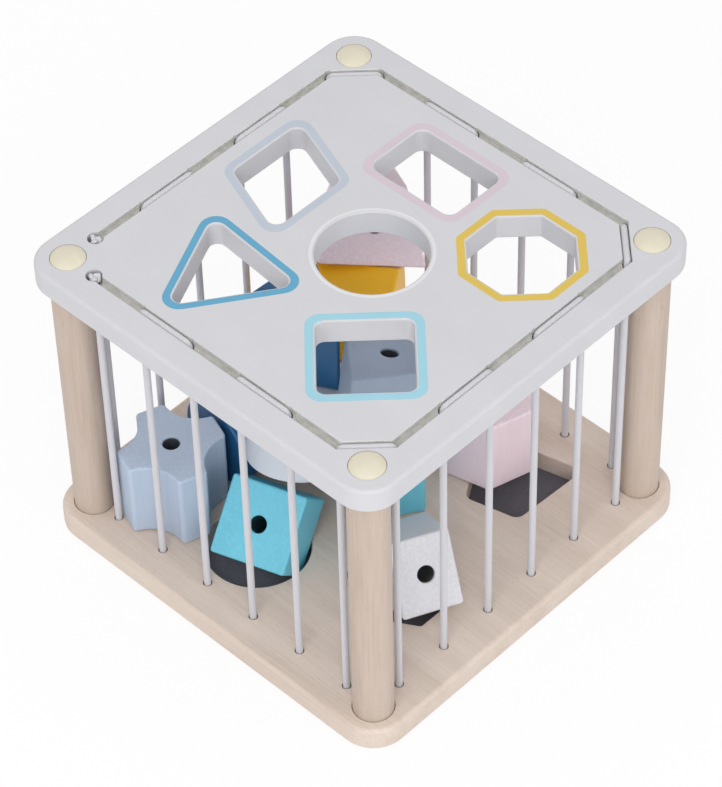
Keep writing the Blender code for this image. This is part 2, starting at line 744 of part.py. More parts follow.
def make_blocks():
    """The twelve blocks, from the floor of the cage up."""
    stand = FIT_GAP + BLOCK_LENGTH / 2
    lie = SMALL_ROUND_DIAMETER / 2 + 0.0004
    octagon = regular(8, OCTAGON_ACROSS, 22.5)
    make_block(
        "block_star_blue",
        star(STAR_TIP_RADIUS, STAR_TIP_WIDTH, STAR_HOLLOW),
        BLOCK_LENGTH,
        (*STAR_BLUE_PLACE, stand),
        (0.0, 0.0, 25.0),
        GREY_BLUE,
    )
    make_block(
        "block_round_petrol",
        circle(SMALL_ROUND_DIAMETER / 2, 24),
        BLOCK_LENGTH,
        (*ROUND_PETROL_PLACE, lie),
        (90.0, 0.0, -6.7),
        PETROL,
    )
    make_block(
        "block_square_cyan",
        soft(square(SQUARE_SIDE)),
        SQUARE_BLOCK_LENGTH,
        SQUARE_CYAN_PLACE,
        (42.8, 0.0, 18.5),
        CYAN,
    )
    make_block(
        "block_oblong_white",
        soft(oblong(WHITE_OBLONG_WIDTH, WHITE_OBLONG_LENGTH)),
        WHITE_OBLONG_BLOCK_LENGTH,
        OBLONG_WHITE_PLACE,
        (57.2, 0.0, 64.3),
        WHITE,
    )
    make_block(
        "block_oblong_cyan",
        soft(oblong(CYAN_OBLONG_LENGTH, CYAN_OBLONG_WIDTH)),
        BLOCK_LENGTH,
        (*OBLONG_CYAN_PLACE, stand),
        (0.0, 0.0, 146.0),
        CYAN,
    )
    make_block(
        "block_hexagon_pink",
        soft(regular(6, HEXAGON_ACROSS, 0.0)),
        BLOCK_LENGTH,
        (*HEXAGON_PINK_PLACE, stand),
        (0.0, 0.0, -46.4),
        PINK,
    )
    make_block(
        "block_octagon_yellow_low",
        soft(octagon),
        BLOCK_LENGTH,
        (*OCTAGON_YELLOW_LOW_PLACE, stand),
        (0.0, 0.0, 10.0),
        YELLOW,
    )
    make_block(
        "block_round_white",
        circle(LARGE_ROUND_DIAMETER / 2, 24),
        BLOCK_LENGTH,
        ROUND_WHITE_PLACE,
        (-15.6, -5.8, 7.1),
        WHITE,
    )
    make_block(
        "block_octagon_yellow_high",
        soft(octagon),
        BLOCK_LENGTH,
        OCTAGON_YELLOW_HIGH_PLACE,
        (90.0, -7.3, 123.5),
        YELLOW,
    )
    make_block(
        "block_triangle_petrol",
        soft(triangle(TRIANGLE_SIDE)),
        SHORT_BLOCK_LENGTH,
        TRIANGLE_PETROL_PLACE,
        (-1.5, 0.5, 28.5),
        PETROL,
    )
    make_block(
        "block_rhombus_blue",
        soft(rhombus(RHOMBUS_SIDE, RHOMBUS_ANGLE)),
        SHORT_BLOCK_LENGTH,
        RHOMBUS_BLUE_PLACE,
        (11.3, -13.3, -113.8),
        GREY_BLUE,
    )
    make_block(
        "block_trapezoid_pink",
        soft(trapezoid(TRAPEZOID_LONG, TRAPEZOID_SHORT, TRAPEZOID_HEIGHT)),
        BLOCK_LENGTH,
        TRAPEZOID_PINK_PLACE,
        (60.3, 8.7, 48.5),
        PINK,
    )


clear_scene()
make_base()
make_panel()
make_top()
make_posts()
make_caps()
make_screws()
make_cord()
make_blocks()
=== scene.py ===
"""Looks of the wooden shape sorting cube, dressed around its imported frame.

The cube is two square plates on four dowel posts, laced round with a white elastic cord, with
twelve drilled and painted blocks lying in a heap inside. Every length is in metres and +Z is up.
The origin lies on the floor under the middle of the base plate.
"""

from __future__ import annotations

import json
import logging
import math
from collections.abc import Callable, Iterable, Iterator, Sequence
from dataclasses import dataclass
from enum import Enum
from typing import Any

import bmesh
import bpy
from mathutils import Color, Euler, Matrix, Vector

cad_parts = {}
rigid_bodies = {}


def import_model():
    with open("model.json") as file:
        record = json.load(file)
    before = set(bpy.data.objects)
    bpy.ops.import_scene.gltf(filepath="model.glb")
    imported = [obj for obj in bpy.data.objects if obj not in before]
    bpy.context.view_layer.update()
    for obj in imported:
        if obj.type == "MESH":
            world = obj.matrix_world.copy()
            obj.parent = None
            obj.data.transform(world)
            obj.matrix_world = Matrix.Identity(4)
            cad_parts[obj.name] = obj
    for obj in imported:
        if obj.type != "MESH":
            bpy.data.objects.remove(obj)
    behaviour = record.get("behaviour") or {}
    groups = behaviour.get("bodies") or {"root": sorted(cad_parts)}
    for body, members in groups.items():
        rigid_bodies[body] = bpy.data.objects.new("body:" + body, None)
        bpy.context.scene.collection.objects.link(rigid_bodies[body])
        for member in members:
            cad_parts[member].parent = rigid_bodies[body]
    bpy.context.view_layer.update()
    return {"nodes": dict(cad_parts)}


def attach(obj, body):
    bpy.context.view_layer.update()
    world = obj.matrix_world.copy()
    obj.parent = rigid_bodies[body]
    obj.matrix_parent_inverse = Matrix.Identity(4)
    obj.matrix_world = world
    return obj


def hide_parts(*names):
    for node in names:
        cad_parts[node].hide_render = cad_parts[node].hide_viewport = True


LOG = logging.getLogger("sorting_cube")
CAGE = "cage"
UV_NAME = "lay"
RIM_NAME = "rim"
WHITE = "ffffff"
FULL_TURN = 2 * math.pi
QUARTER_TURN = math.pi / 2
SHARP_DEGREES = 34.0  # Edges that turn by more are shaded sharp.
CORD_SHARP_DEGREES = 50.0  # The same for the cord.
STRAIGHT_CORNER = 0.15  # Corners that turn by less, in radians, are never rounded.
CUT_MARGIN = 0.002  # Cutters reach this far past what they cut.
CORNER_STEPS = 14  # Steps in a plate's corner.
PLATE_STEPS = 5  # Steps in a plate's rounded edge.
EASE_STEPS = 4  # Steps in any smaller rounded edge.

Colour = tuple[float, float, float, float]
Triple = tuple[float, float, float]
Pair = tuple[float, float]
Places = Iterable[Sequence[float]]


def srgb(code: str, level: float = 1.0) -> Colour:
    """Turn a six-digit screen colour into linear light.

    Args:
        code: The colour as six hexadecimal digits.
        level: A factor on its brightness.

    Returns:
        Red, green, blue and an alpha of one.
    """
    screen = Color([int(code[i : i + 2], 16) / 255 for i in (0, 2, 4)])
    red, green, blue = (min(c * level, 1.0) for c in screen.from_srgb_to_scene_linear())
    return (red, green, blue, 1.0)


class Along(Enum):
    """The direction in which a piece's fibres run."""

    X = 0
    Y = 1
    Z = 2


@dataclass(frozen=True)
class Waves:
    """One layer of cloudy noise.

    Attributes:
        across: Its waves per metre across the fibres.
        along: Its waves per metre along them, or 0 for as many as across.
        detail: How many layers of finer noise lie over it.
        warp: How far it swirls.
    """

    across: float
    along: float = 0.0
    detail: float = 2.0
    warp: float = 0.0


class Wire:
    """A number that varies over a surface: one output socket, with arithmetic."""

    def __init__(self, bench: Bench, socket: bpy.types.NodeSocket) -> None:
        """Keep the bench that builds further nodes, and the socket."""
        self.bench = bench
        self.socket = socket

    def _math(self, operation: str, first: Wire | float, second: Wire | float = 0.0) -> Wire:
        """Add one Math node."""
        return self.bench.node("ShaderNodeMath", {"operation": operation}, {0: first, 1: second})

    def __add__(self, other: Wire | float) -> Wire:
        """Sum."""
        return self._math("ADD", self, other)

    __radd__ = __add__

    def __sub__(self, other: Wire | float) -> Wire:
        """Difference."""
        return self._math("SUBTRACT", self, other)

    def __rsub__(self, other: Wire | float) -> Wire:
        """Difference from a plain number."""
        return self._math("SUBTRACT", other, self)

    def __mul__(self, other: Wire | float) -> Wire:
        """Product."""
        return self._math("MULTIPLY", self, other)

    __rmul__ = __mul__

    def above(self, other: Wire | float) -> Wire:
        """The larger of the two."""
        return self._math("MAXIMUM", self, other)

    def sine(self) -> Wire:
        """Sine of the number as an angle."""
        return self._math("SINE", self)

    def swing(self, width: float) -> Wire:
        """The number from 0 to 1, made to swing over a width with its middle at 0."""
        return (self - 0.5) * width

    def mixed(self, other: Wire, shares: Pair) -> Wire:
        """A share of this number and a share of another, added."""
        return self * shares[0] + other * shares[1]

    def between(self, low: float, high: float) -> Wire:
        """A soft step from 0 at the low value to 1 at the high one."""
        inputs = {"Value": self, "From Min": low, "From Max": high}
        return self.bench.node("ShaderNodeMapRange", {"interpolation_type": "SMOOTHSTEP"}, inputs)


class Bench:
    """Builds one node tree, of a material or of the world."""

    def __init__(self, tree: bpy.types.NodeTree) -> None:
        """Keep the tree."""
        self.tree = tree

    def node(
        self,
        kind: str,
        settings: dict[str, Any] | None = None,
        inputs: dict[int | str, Any] | None = None,
        out: int | str = 0,
    ) -> Wire:
        """Make any node.

        Args:
            kind: The node's type.
            settings: Its own settings, set first; "stops" are a ramp's places and colours.
            inputs: Values or wires by socket.
            out: The output that is wanted.

        Returns:
            That output.
        """
        made = self.tree.nodes.new(kind)
        for key, value in (settings or {}).items():
            if key == "stops":
                self._set_stops(made, value)
            else:
                setattr(made, key, value)
        for key, value in (inputs or {}).items():
            self.feed(made.inputs[key], value)
        return Wire(self, made.outputs[out])

    @staticmethod
    def _set_stops(ramp: bpy.types.Node, stops: Sequence[tuple[float, Colour]]) -> None:
        """Give a colour ramp its stops.

        Args:
            ramp: The ramp's node.
            stops: Places from 0 to 1 in rising order, with their colours.
        """
        elements = ramp.color_ramp.elements
        while len(elements) < len(stops):
            elements.new(stops[-1][0])
        for element, (place, colour) in zip(elements, stops):
            element.position = place
            element.color = colour

    def feed(self, socket: bpy.types.NodeSocket, value: Any) -> None:
        """Link a wire to a socket, or set a plain value there.

        Args:
            socket: The socket.
            value: A wire, or a value that the socket holds.
        """
        if isinstance(value, Wire):
            self.tree.links.new(value.socket, socket)
        else:
            socket.default_value = value


class Surface(Bench):
    """Builds one material around its Principled shader."""

    def __init__(self, name: str) -> None:
        """Start a material.

        Args:
            name: Its name.
        """
        self.material = bpy.data.materials.new(name)
        self.material.use_nodes = True
        super().__init__(self.material.node_tree)
        self.shader = self.tree.nodes["Principled BSDF"]
        self.place = self.node("ShaderNodeTexCoord", out="Object")

    def noise(self, waves: Waves, way: Along = Along.Z) -> Wire:
        """Add cloudy noise from 0 to 1, fixed to the piece.

        Args:
            waves: How fine it is.
            way: The direction of the fibres.

        Returns:
            The noise.
        """
        scales = [waves.across] * 3
        scales[way.value] = waves.along or waves.across
        places = {0: self.place, 1: scales}
        scaled = self.node("ShaderNodeVectorMath", {"operation": "MULTIPLY"}, places)
        inputs = {"Vector": scaled, "Scale": 1.0, "Detail": waves.detail, "Distortion": waves.warp}
        return self.node("ShaderNodeTexNoise", inputs=inputs)

    def blend(self, share: Wire, first: Any, second: Any) -> Wire:
        """A colour between two, by a share from 0 to 1."""
        inputs = {0: share, 6: first, 7: second}
        return self.node("ShaderNodeMix", {"data_type": "RGBA"}, inputs, out=2)

    def set(self, **values: Any) -> None:
        """Set or link the shader's sockets, named with _ for a space."""
        for key, value in values.items():
            self.feed(self.shader.inputs[key.replace("_", " ")], value)

    def relief(self, height: Wire, depth: float) -> None:
        """Raise the surface by a height from 0 to 1 times a depth."""
        inputs = {"Height": height, "Distance": depth, "Strength": 1.0}
        self.set(Normal=self.node("ShaderNodeBump", inputs=inputs))


@dataclass(frozen=True)
class Finish:
    """What every finish has.

    Attributes:
        name: The material's name.
        colour: Its main colour.
    """

    name: str
    colour: str

    def dress(self) -> bpy.types.Material:
        """Build the material.

        Returns:
            The material.
        """
        surface = Surface(self.name)
        self.coat(surface)
        return surface.material

    def coat(self, surface: Surface) -> None:
        """Give the material its look, which each finish does in its own way."""
        raise NotImplementedError

    def shade(self, surface: Surface, share: Wire, levels: Pair) -> Wire:
        """The main colour between two levels of brightness, by a share from 0 to 1."""
        return surface.blend(share, srgb(self.colour, levels[0]), srgb(self.colour, levels[1]))


@dataclass(frozen=True)
class SatinPaint(Finish):
    """Satin paint on wood: the grain shows faintly, handled rims are a little thin, and deep in a
    bore the paint is darkened as painted shade.

    Attributes:
        along: The way the wood under it runs.
        roughness: How dull it is.
        grain: How much the grain shows, from 0 to 1.
        clouds: Patches of thicker and thinner paint.
        fibres: The grain.
        peel: The paint's own fine skin.
        tone_shares: What the clouds and the fullest grain add to the tone.
        tone_span: The tones at which the paint is darkest and lightest.
        levels: Its brightness there, as factors on the colour.
        wear_span: The grain that keeps its paint on a rim, and the grain that loses it.
        wear: How much a rim loses.
        rim_level: The brightness of a worn rim.
        bore_shade_level: The brightness deep in a bore, darkened as painted shade.
        swings: How far the clouds and the grain swing the roughness.
        relief_shares: What the skin and the fullest grain add to the relief.
        depth: Depth of the relief.
    """

    along: Along = Along.Z
    roughness: float = 0.45
    grain: float = 0.5
    clouds: Waves = Waves(55.0, 35.0)
    fibres: Waves = Waves(780.0, 55.0, 3.0)
    peel: Waves = Waves(1500.0, detail=1.0)
    tone_shares: Pair = (0.6, 0.8)
    tone_span: Pair = (0.2, 0.9)
    levels: Pair = (0.945, 1.035)
    wear_span: Pair = (0.35, 0.75)
    wear: float = 0.7
    rim_level: float = 1.12
    bore_shade_level: float = 0.14
    swings: Pair = (0.14, 0.1)
    relief_shares: Pair = (0.55, 0.9)
    depth: float = 0.00005

    def with_grain(self, shares: Pair) -> Pair:
        """Two shares, of which the second goes by how much the grain shows."""
        return (shares[0], shares[1] * self.grain)

    def coat(self, surface: Surface) -> None:
        """Lay the paint over the grain, thin on rims, and darkened deep in the bore as painted
        shade.

        Args:
            surface: The material's nodes.
        """
        clouds = surface.noise(self.clouds, self.along)
        fibres = surface.noise(self.fibres, self.along)
        tone = clouds.mixed(fibres, self.with_grain(self.tone_shares))
        paint = self.shade(surface, tone.between(*self.tone_span), self.levels)
        rim = surface.node("ShaderNodeAttribute", {"attribute_name": RIM_NAME}, out="Fac")
        thin = rim * fibres.between(*self.wear_span) * self.wear
        worn = surface.blend(thin, paint, srgb(self.colour, self.rim_level))
        # Deep in a bore, where the rim attribute falls to -1, the paint is darkened as painted
        # shade.
        bored = (rim * -1.0).between(0.0, 1.0)
        dulled = self.roughness + clouds.swing(self.swings[0]) + fibres.swing(self.swings[1])
        surface.set(
            Base_Color=surface.blend(bored, worn, srgb(self.colour, self.bore_shade_level)),
            Roughness=dulled,
        )
        skin = surface.noise(self.peel).mixed(fibres, self.with_grain(self.relief_shares))
        surface.relief(skin, self.depth)


@dataclass(frozen=True)
class BareWood(Finish):
    """Sanded pale hardwood: soft bands, fine fibres and short dark flecks.

    Attributes:
        pale: The lightest tone; the main colour is the middle one.
        deep: The darkest tone.
        fleck: The colour of the flecks.
        along: The way the fibres run.
        roughness: How dull it is.
        bands: The growth bands.
        fibres: The fibres.
        flecks: The flecks.
        tone_shares: What the bands and the fibres add to the tone.
        stops: The tones that get the deep, the main and the pale colour.
        fleck_span: The noise at which a fleck begins and is full.
        fleck_share: How much a full fleck covers the wood.
        swing: How far the fibres swing the roughness.
        relief_shares: What the fibres and the flecks add to the relief.
        depth: Depth of the relief.
    """

    pale: str
    deep: str
    fleck: str
    along: Along
    roughness: float = 0.6
    bands: Waves = Waves(80.0, 7.0, 3.0, 0.35)
    fibres: Waves = Waves(900.0, 40.0, 3.0)
    flecks: Waves = Waves(1900.0, 330.0, 1.0)
    tone_shares: Pair = (0.6, 0.4)
    stops: Triple = (0.34, 0.5, 0.66)
    fleck_span: Pair = (0.63, 0.74)
    fleck_share: float = 0.4
    swing: float = 0.16
    relief_shares: Pair = (0.7, -0.5)
    depth: float = 0.00006

    def coat(self, surface: Surface) -> None:
        """Lay out the bands, fibres and flecks.

        Args:
            surface: The material's nodes.
        """
        fibres = surface.noise(self.fibres, self.along)
        tone = surface.noise(self.bands, self.along).mixed(fibres, self.tone_shares)
        colours = [srgb(code) for code in (self.deep, self.colour, self.pale)]
        stops = list(zip(self.stops, colours))
        wood = surface.node("ShaderNodeValToRGB", {"stops": stops}, {"Fac": tone})
        marks = surface.noise(self.flecks, self.along).between(*self.fleck_span)
        surface.set(
            Base_Color=surface.blend(marks * self.fleck_share, wood, srgb(self.fleck)),
            Roughness=self.roughness + fibres.swing(self.swing),
        )
        surface.relief(fibres.mixed(marks, self.relief_shares), self.depth)


@dataclass(frozen=True)
class RoutedWood(Finish):
    """Raw wood inside a routed channel, fuzzy and unpainted.

    Attributes:
        fuzz: The torn fibre ends.
        stains: Darker and lighter patches, flatter than they are wide.
        tone_shares: What the fuzz and the stains add to the tone.
        tone_span: The tones at which the wood is darkest and lightest.
        levels: Its brightness there, as factors on the colour.
        roughness: How dull it is.
        swing: How far the fuzz swings the roughness.
        depth: Depth of the relief.
    """

    fuzz: Waves = Waves(2600.0, detail=3.0)
    stains: Waves = Waves(260.0, 500.0)
    tone_shares: Pair = (0.6, 0.5)
    tone_span: Pair = (0.3, 0.8)
    levels: Pair = (0.72, 1.1)
    roughness: float = 0.85
    swing: float = 0.1
    depth: float = 0.00012

    def coat(self, surface: Surface) -> None:
        """Raise the fuzz and stain it.

        Args:
            surface: The material's nodes.
        """
        fuzz = surface.noise(self.fuzz)
        tone = fuzz.mixed(surface.noise(self.stains), self.tone_shares)
        surface.set(
            Base_Color=self.shade(surface, tone.between(*self.tone_span), self.levels),
            Roughness=self.roughness + fuzz.swing(self.swing),
        )
        surface.relief(fuzz, self.depth)


@dataclass(frozen=True)
class SmoothCap(Finish):
    """A smooth moulded cap with a soft sheen.

    Attributes:
        clouds: Faint patches.
        grain: The mould's fine texture.
        tone_span: The clouds at which the plastic is darkest and lightest.
        levels: Its brightness there, as factors on the colour.
        roughness: How dull it is.
        swing: How far the clouds swing the roughness.
        depth: Depth of the relief.
    """

    clouds: Waves = Waves(170.0)
    grain: Waves = Waves(2400.0, detail=1.0)
    tone_span: Pair = (0.3, 0.7)
    levels: Pair = (0.965, 1.02)
    roughness: float = 0.4
    swing: float = 0.12
    depth: float = 0.00002

    def coat(self, surface: Surface) -> None:
        """Cloud the plastic and grain its skin.

        Args:
            surface: The material's nodes.
        """
        clouds = surface.noise(self.clouds)
        surface.set(
            Base_Color=self.shade(surface, clouds.between(*self.tone_span), self.levels),
            Roughness=self.roughness + clouds.swing(self.swing),
        )
        surface.relief(surface.noise(self.grain), self.depth)


@dataclass(frozen=True)
class DarkBoard(Finish):
    """Thin dark board with a felted, slightly dusty face.

    Attributes:
        along: The way the fibres run.
        dust: Where the dust lies.
        fibres: The felted fibres.
        tone_shares: What the dust and the fibres add to the tone.
        tone_span: The tones at which the board is darkest and lightest.
        levels: Its brightness there, as factors on the colour.
        roughness: How dull it is.
        swing: How far the fibres swing the roughness.
        depth: Depth of the relief.
    """

    along: Along = Along.Y
    dust: Waves = Waves(60.0, detail=4.0)
    fibres: Waves = Waves(1800.0, 1400.0)
    tone_shares: Pair = (0.5, 0.5)
    tone_span: Pair = (0.3, 0.72)
    levels: Pair = (0.86, 1.16)
    roughness: float = 0.84
    swing: float = 0.12
    depth: float = 0.00006

    def coat(self, surface: Surface) -> None:
        """Felt the board and dust it.

        Args:
            surface: The material's nodes.
        """
        fibres = surface.noise(self.fibres, self.along)
        tone = surface.noise(self.dust).mixed(fibres, self.tone_shares)
        surface.set(
            Base_Color=self.shade(surface, tone.between(*self.tone_span), self.levels),
            Roughness=self.roughness + fibres.swing(self.swing),
        )
        surface.relief(fibres, self.depth)


@dataclass(frozen=True)
class PlatedSteel(Finish):
    """Bright zinc plating with a faint haze.

    Attributes:
        haze: The haze.
        levels: The plating's brightness where it is clear and where it is hazy.
        roughness: How dull it is where it is clear.
        dulling: How much duller the fullest haze is.
        depth: Depth of the relief.
    """

    haze: Waves = Waves(700.0, detail=3.0)
    levels: Pair = (0.85, 1.05)
    roughness: float = 0.28
    dulling: float = 0.18
    depth: float = 0.00002

    def coat(self, surface: Surface) -> None:
        """Plate the steel and haze it.

        Args:
            surface: The material's nodes.
        """
        haze = surface.noise(self.haze)
        surface.set(
            Base_Color=self.shade(surface, haze, self.levels),
            Metallic=1.0,
            Roughness=self.roughness + haze * self.dulling,
        )
        surface.relief(haze, self.depth)


@dataclass(frozen=True)
class BraidedElastic(Finish):
    """A braided textile cover, whose yarns cross in both directions.

    Attributes:
        gap: The colour between yarns; the main colour is the yarns'.
        yarns: Yarns of one direction round the cord.
        pitch: Crossings for each cord girth of length.
        fuzz: The yarns' loose fibres.
        tone_shares: What the braid and the fuzz add to the tone.
        tone_span: The tones at which the gap ends and the yarn is clean.
        roughness: How dull it is.
        swing: How far the fuzz swings the roughness.
        sheen: The sheen of the loose fibres.
        relief_shares: What the braid and the fuzz add to the relief.
        depth: Depth of the relief.
    """

    gap: str
    yarns: int = 8
    pitch: float = 6.0
    fuzz: Waves = Waves(3200.0)
    tone_shares: Pair = (0.75, 0.35)
    tone_span: Pair = (0.35, 0.85)
    roughness: float = 0.8
    swing: float = 0.15
    sheen: float = 0.25
    relief_shares: Pair = (0.8, 0.4)
    depth: float = 0.00003

    def coat(self, surface: Surface) -> None:
        """Braid the yarns by the lay that the cord's mesh carries.

        Args:
            surface: The material's nodes.
        """
        lay = {0: surface.node("ShaderNodeUVMap", {"uv_map": UV_NAME})}
        sides = [surface.node("ShaderNodeSeparateXYZ", inputs=lay, out=axis) for axis in "XY"]
        turns, run = sides[0] * (FULL_TURN * self.yarns), sides[1] * (FULL_TURN * self.pitch)
        braid = (turns + run).sine().above((turns - run).sine()) * 0.5 + 0.5
        fuzz = surface.noise(self.fuzz)
        tone = braid.mixed(fuzz, self.tone_shares).between(*self.tone_span)
        surface.set(
            Base_Color=surface.blend(tone, srgb(self.gap), srgb(self.colour)),
            Roughness=self.roughness + fuzz.swing(self.swing),
            Sheen_Weight=self.sheen,
        )
        surface.relief(braid.mixed(fuzz, self.relief_shares), self.depth)


def round_turns(count: int) -> list[float]:
    """Angles at even steps of a full turn."""
    return [FULL_TURN * k / count for k in range(count)]


def quarter(radius: float, steps: int) -> list[Pair]:
    """A quarter circle that rounds an edge.

    Args:
        radius: Its radius.
        steps: Its steps.

    Returns:
        Distances from the two faces that meet at the edge. The first grows from 0 to the radius
        while the second shrinks.
    """
    turns = [QUARTER_TURN * k / steps for k in range(steps + 1)]
    return [(radius * (1 - math.cos(a)), radius * (1 - math.sin(a))) for a in turns]


def cross(first: Vector, second: Vector) -> float:
    """The area between two ways in the plane, positive where the second lies to the left."""
    return first.x * second.y - first.y * second.x


class Outline:
    """A closed counterclockwise outline in the plane."""

    def __init__(self, points: Places) -> None:
        """Keep the points."""
        self.points = [Vector((point[0], point[1])) for point in points]

    @classmethod
    def circle(cls, radius: float, sides: int) -> Outline:
        """A circle about the origin."""
        return cls([(radius * math.cos(a), radius * math.sin(a)) for a in round_turns(sides)])

    @classmethod
    def oblong(cls, length: float, width: float) -> Outline:
        """A rectangle with its length along X."""
        a, b = length / 2, width / 2
        return cls([(-a, -b), (a, -b), (a, b), (-a, b)])

    @classmethod
    def square(cls, side: float) -> Outline:
        """A square."""
        return cls.oblong(side, side)

    @classmethod
    def regular(cls, sides: int, across: float, first: float) -> Outline:
        """A regular polygon from its width across the flats and its first corner's angle."""
        radius = across / 2 / math.cos(math.pi / sides)
        return cls.circle(radius, sides).turned(first)

    @classmethod
    def triangle(cls, side: float) -> Outline:
        """An equal-sided triangle with one corner on +Y."""
        return cls.circle(side / math.sqrt(3), 3).turned(90.0)

    @classmethod
    def rhombus(cls, side: float, degrees: float) -> Outline:
        """A rhombus with two sides along X.

        Args:
            side: Its side.
            degrees: Its sharp angle.

        Returns:
            The outline.
        """
        angle = math.radians(degrees)
        rise = Vector((math.cos(angle), math.sin(angle))) * side
        run = Vector((side, 0.0))
        middle = (run + rise) / 2
        return cls([-middle, run - middle, run + rise - middle, rise - middle])

    @classmethod
    def trapezoid(cls, long_side: float, short_side: float, height: float) -> Outline:
        """An even trapezoid with its long side towards -Y."""
        a, b, h = long_side / 2, short_side / 2, height / 2
        return cls([(-a, -h), (a, -h), (b, h), (-b, h)])

    @classmethod
    def star(cls, tip_radius: float, tip_width: float, hollow: float) -> Outline:
        """A four-pointed star with blunt tips, whose hollow sides face X and Y.

        Args:
            tip_radius: From its middle to a tip.
            tip_width: Width of a tip.
            hollow: How deep a side curves in.

        Returns:
            The outline.
        """
        steps = 10
        far = (math.sqrt(2) * tip_radius + tip_width / math.sqrt(2)) / 2
        near = (math.sqrt(2) * tip_radius - tip_width / math.sqrt(2)) / 2
        radius = (hollow**2 + near**2) / (2 * hollow)
        middle = far - hollow + radius
        half = math.asin(near / radius)
        angles = [-half + 2 * half * k / steps for k in range(steps + 1)]
        side = cls([(middle - radius * math.cos(a), radius * math.sin(a)) for a in angles])
        return side.four_sided()

    @property
    def middle(self) -> Vector:
        """The mean of the points."""
        return sum(self.points, Vector((0.0, 0.0))) / len(self.points)

    def corners(self) -> Iterator[tuple[Vector, Vector, Vector]]:
        """Each point, with the point before it and the point after it on either side."""
        points = self.points
        return zip(points[-1:] + points[:-1], points, points[1:] + points[:1])

    def turned(self, degrees: float, place: Sequence[float] = (0.0, 0.0)) -> Outline:
        """Turn the outline about the origin, and then move it.

        Args:
            degrees: The turn to the left.
            place: Where the origin goes.

        Returns:
            The outline there.
        """
        c, s = math.cos(math.radians(degrees)), math.sin(math.radians(degrees))
        x, y = place
        return Outline([(x + c * p.x - s * p.y, y + s * p.x + c * p.y) for p in self.points])

    def four_sided(self) -> Outline:
        """The points of one side, carried round to all four."""
        return Outline([p for side in range(4) for p in self.turned(90.0 * side).points])

    def rounded(self, radius: float, steps: int) -> Outline:
        """Fillet every corner.

        Args:
            radius: The fillets' radius.
            steps: Steps in each fillet.

        Returns:
            The filleted outline.
        """
        points = []
        for before, corner, after in self.corners():
            back, ahead = (before - corner).normalized(), (after - corner).normalized()
            half = back.angle(ahead) / 2
            sweep = math.pi - 2 * half
            if sweep < STRAIGHT_CORNER:
                points.append(corner)
                continue
            centre = corner + (back + ahead).normalized() * (radius / math.sin(half))
            arm = corner + back * (radius / math.tan(half)) - centre
            if cross(back, ahead) > 0:
                sweep = -sweep
            for k in range(steps + 1):
                c, s = math.cos(sweep * k / steps), math.sin(sweep * k / steps)
                points.append(centre + Vector((c * arm.x - s * arm.y, s * arm.x + c * arm.y)))
        return Outline(points)

    def grown(self, distance: float) -> Outline:
        """Move the outline outwards, with mitred corners.

        Args:
            distance: How far; a negative distance moves it in.

        Returns:
            The outline there.
        """
        points = []
        for before, point, after in self.corners():
            come, go = (point - before).normalized(), (after - point).normalized()
            first, second = Vector((come.y, -come.x)), Vector((go.y, -go.x))
            points.append(point + (first + second) * (distance / (1 + first.dot(second))))
        return Outline(points)

    def refined(self, longest: float) -> Outline:
        """Add points to long sides.

        Args:
            longest: The longest side that is left.

        Returns:
            The same outline with more points.
        """
        points = []
        for _, point, after in self.corners():
            parts = max(1, math.ceil((after - point).length / longest))
            points += [point.lerp(after, k / parts) for k in range(parts)]
        return Outline(points)

    def matched(self, outer: Outline, middle: Vector) -> Outline:
        """Pair this outline's places with the points of one around it.

        Args:
            outer: The outline around it.
            middle: A point that both go round.

        Returns:
            For each point of the outer outline, the place where the ray to it leaves this one.
        """
        parallel, slack = 1e-12, 1e-6
        found = []
        for target in outer.points:
            ray = (target - middle).normalized()
            reaches = []
            for _, start, end in self.corners():
                arm, run = start - middle, end - start
                bend = cross(ray, run)
                if abs(bend) >= parallel and -slack <= cross(arm, ray) / bend <= 1 + slack:
                    reaches.append(cross(arm, run) / bend)
            found.append(middle + ray * max(reaches, default=0.0))
        return Outline(found)

    def bored(self, radius: float) -> Outline:
        """A circle with one point for each point of the outline, seen from the origin."""
        return Outline([point.normalized() * radius for point in self.points])

    def at(self, height: float) -> list[Triple]:
        """The outline's points at a height."""
        return [(p.x, p.y, height) for p in self.points]


def placed(
    name: str, data: bpy.types.ID, matrix: Matrix = Matrix.Identity(4)
) -> bpy.types.Object:
    """Put a mesh, lamp or camera into the scene.

    Args:
        name: The object's name.
        data: What it holds.
        matrix: Where it stands.

    Returns:
        The object.
    """
    obj = bpy.data.objects.new(name, data)
    bpy.context.scene.collection.objects.link(obj)
    obj.matrix_world = matrix
    return obj


def shade(
    mesh: bpy.types.Mesh, materials: Sequence[bpy.types.Material], sharp: float = SHARP_DEGREES
) -> None:
    """Give a mesh its materials and smooth shading.

    Args:
        mesh: The mesh.
        materials: The materials; faces take the first until told otherwise.
        sharp: The angle in degrees above which an edge stays sharp.
    """
    mesh.shade_smooth()
    mesh.set_sharp_from_angle(angle=math.radians(sharp))
    for material in materials:
        mesh.materials.append(material)


def flatten_faces(obj: bpy.types.Object) -> None:
    """Make large flat faces shade flat beside small rounded edges."""
    obj.modifiers.new("even_faces", "WEIGHTED_NORMAL").keep_sharp = True


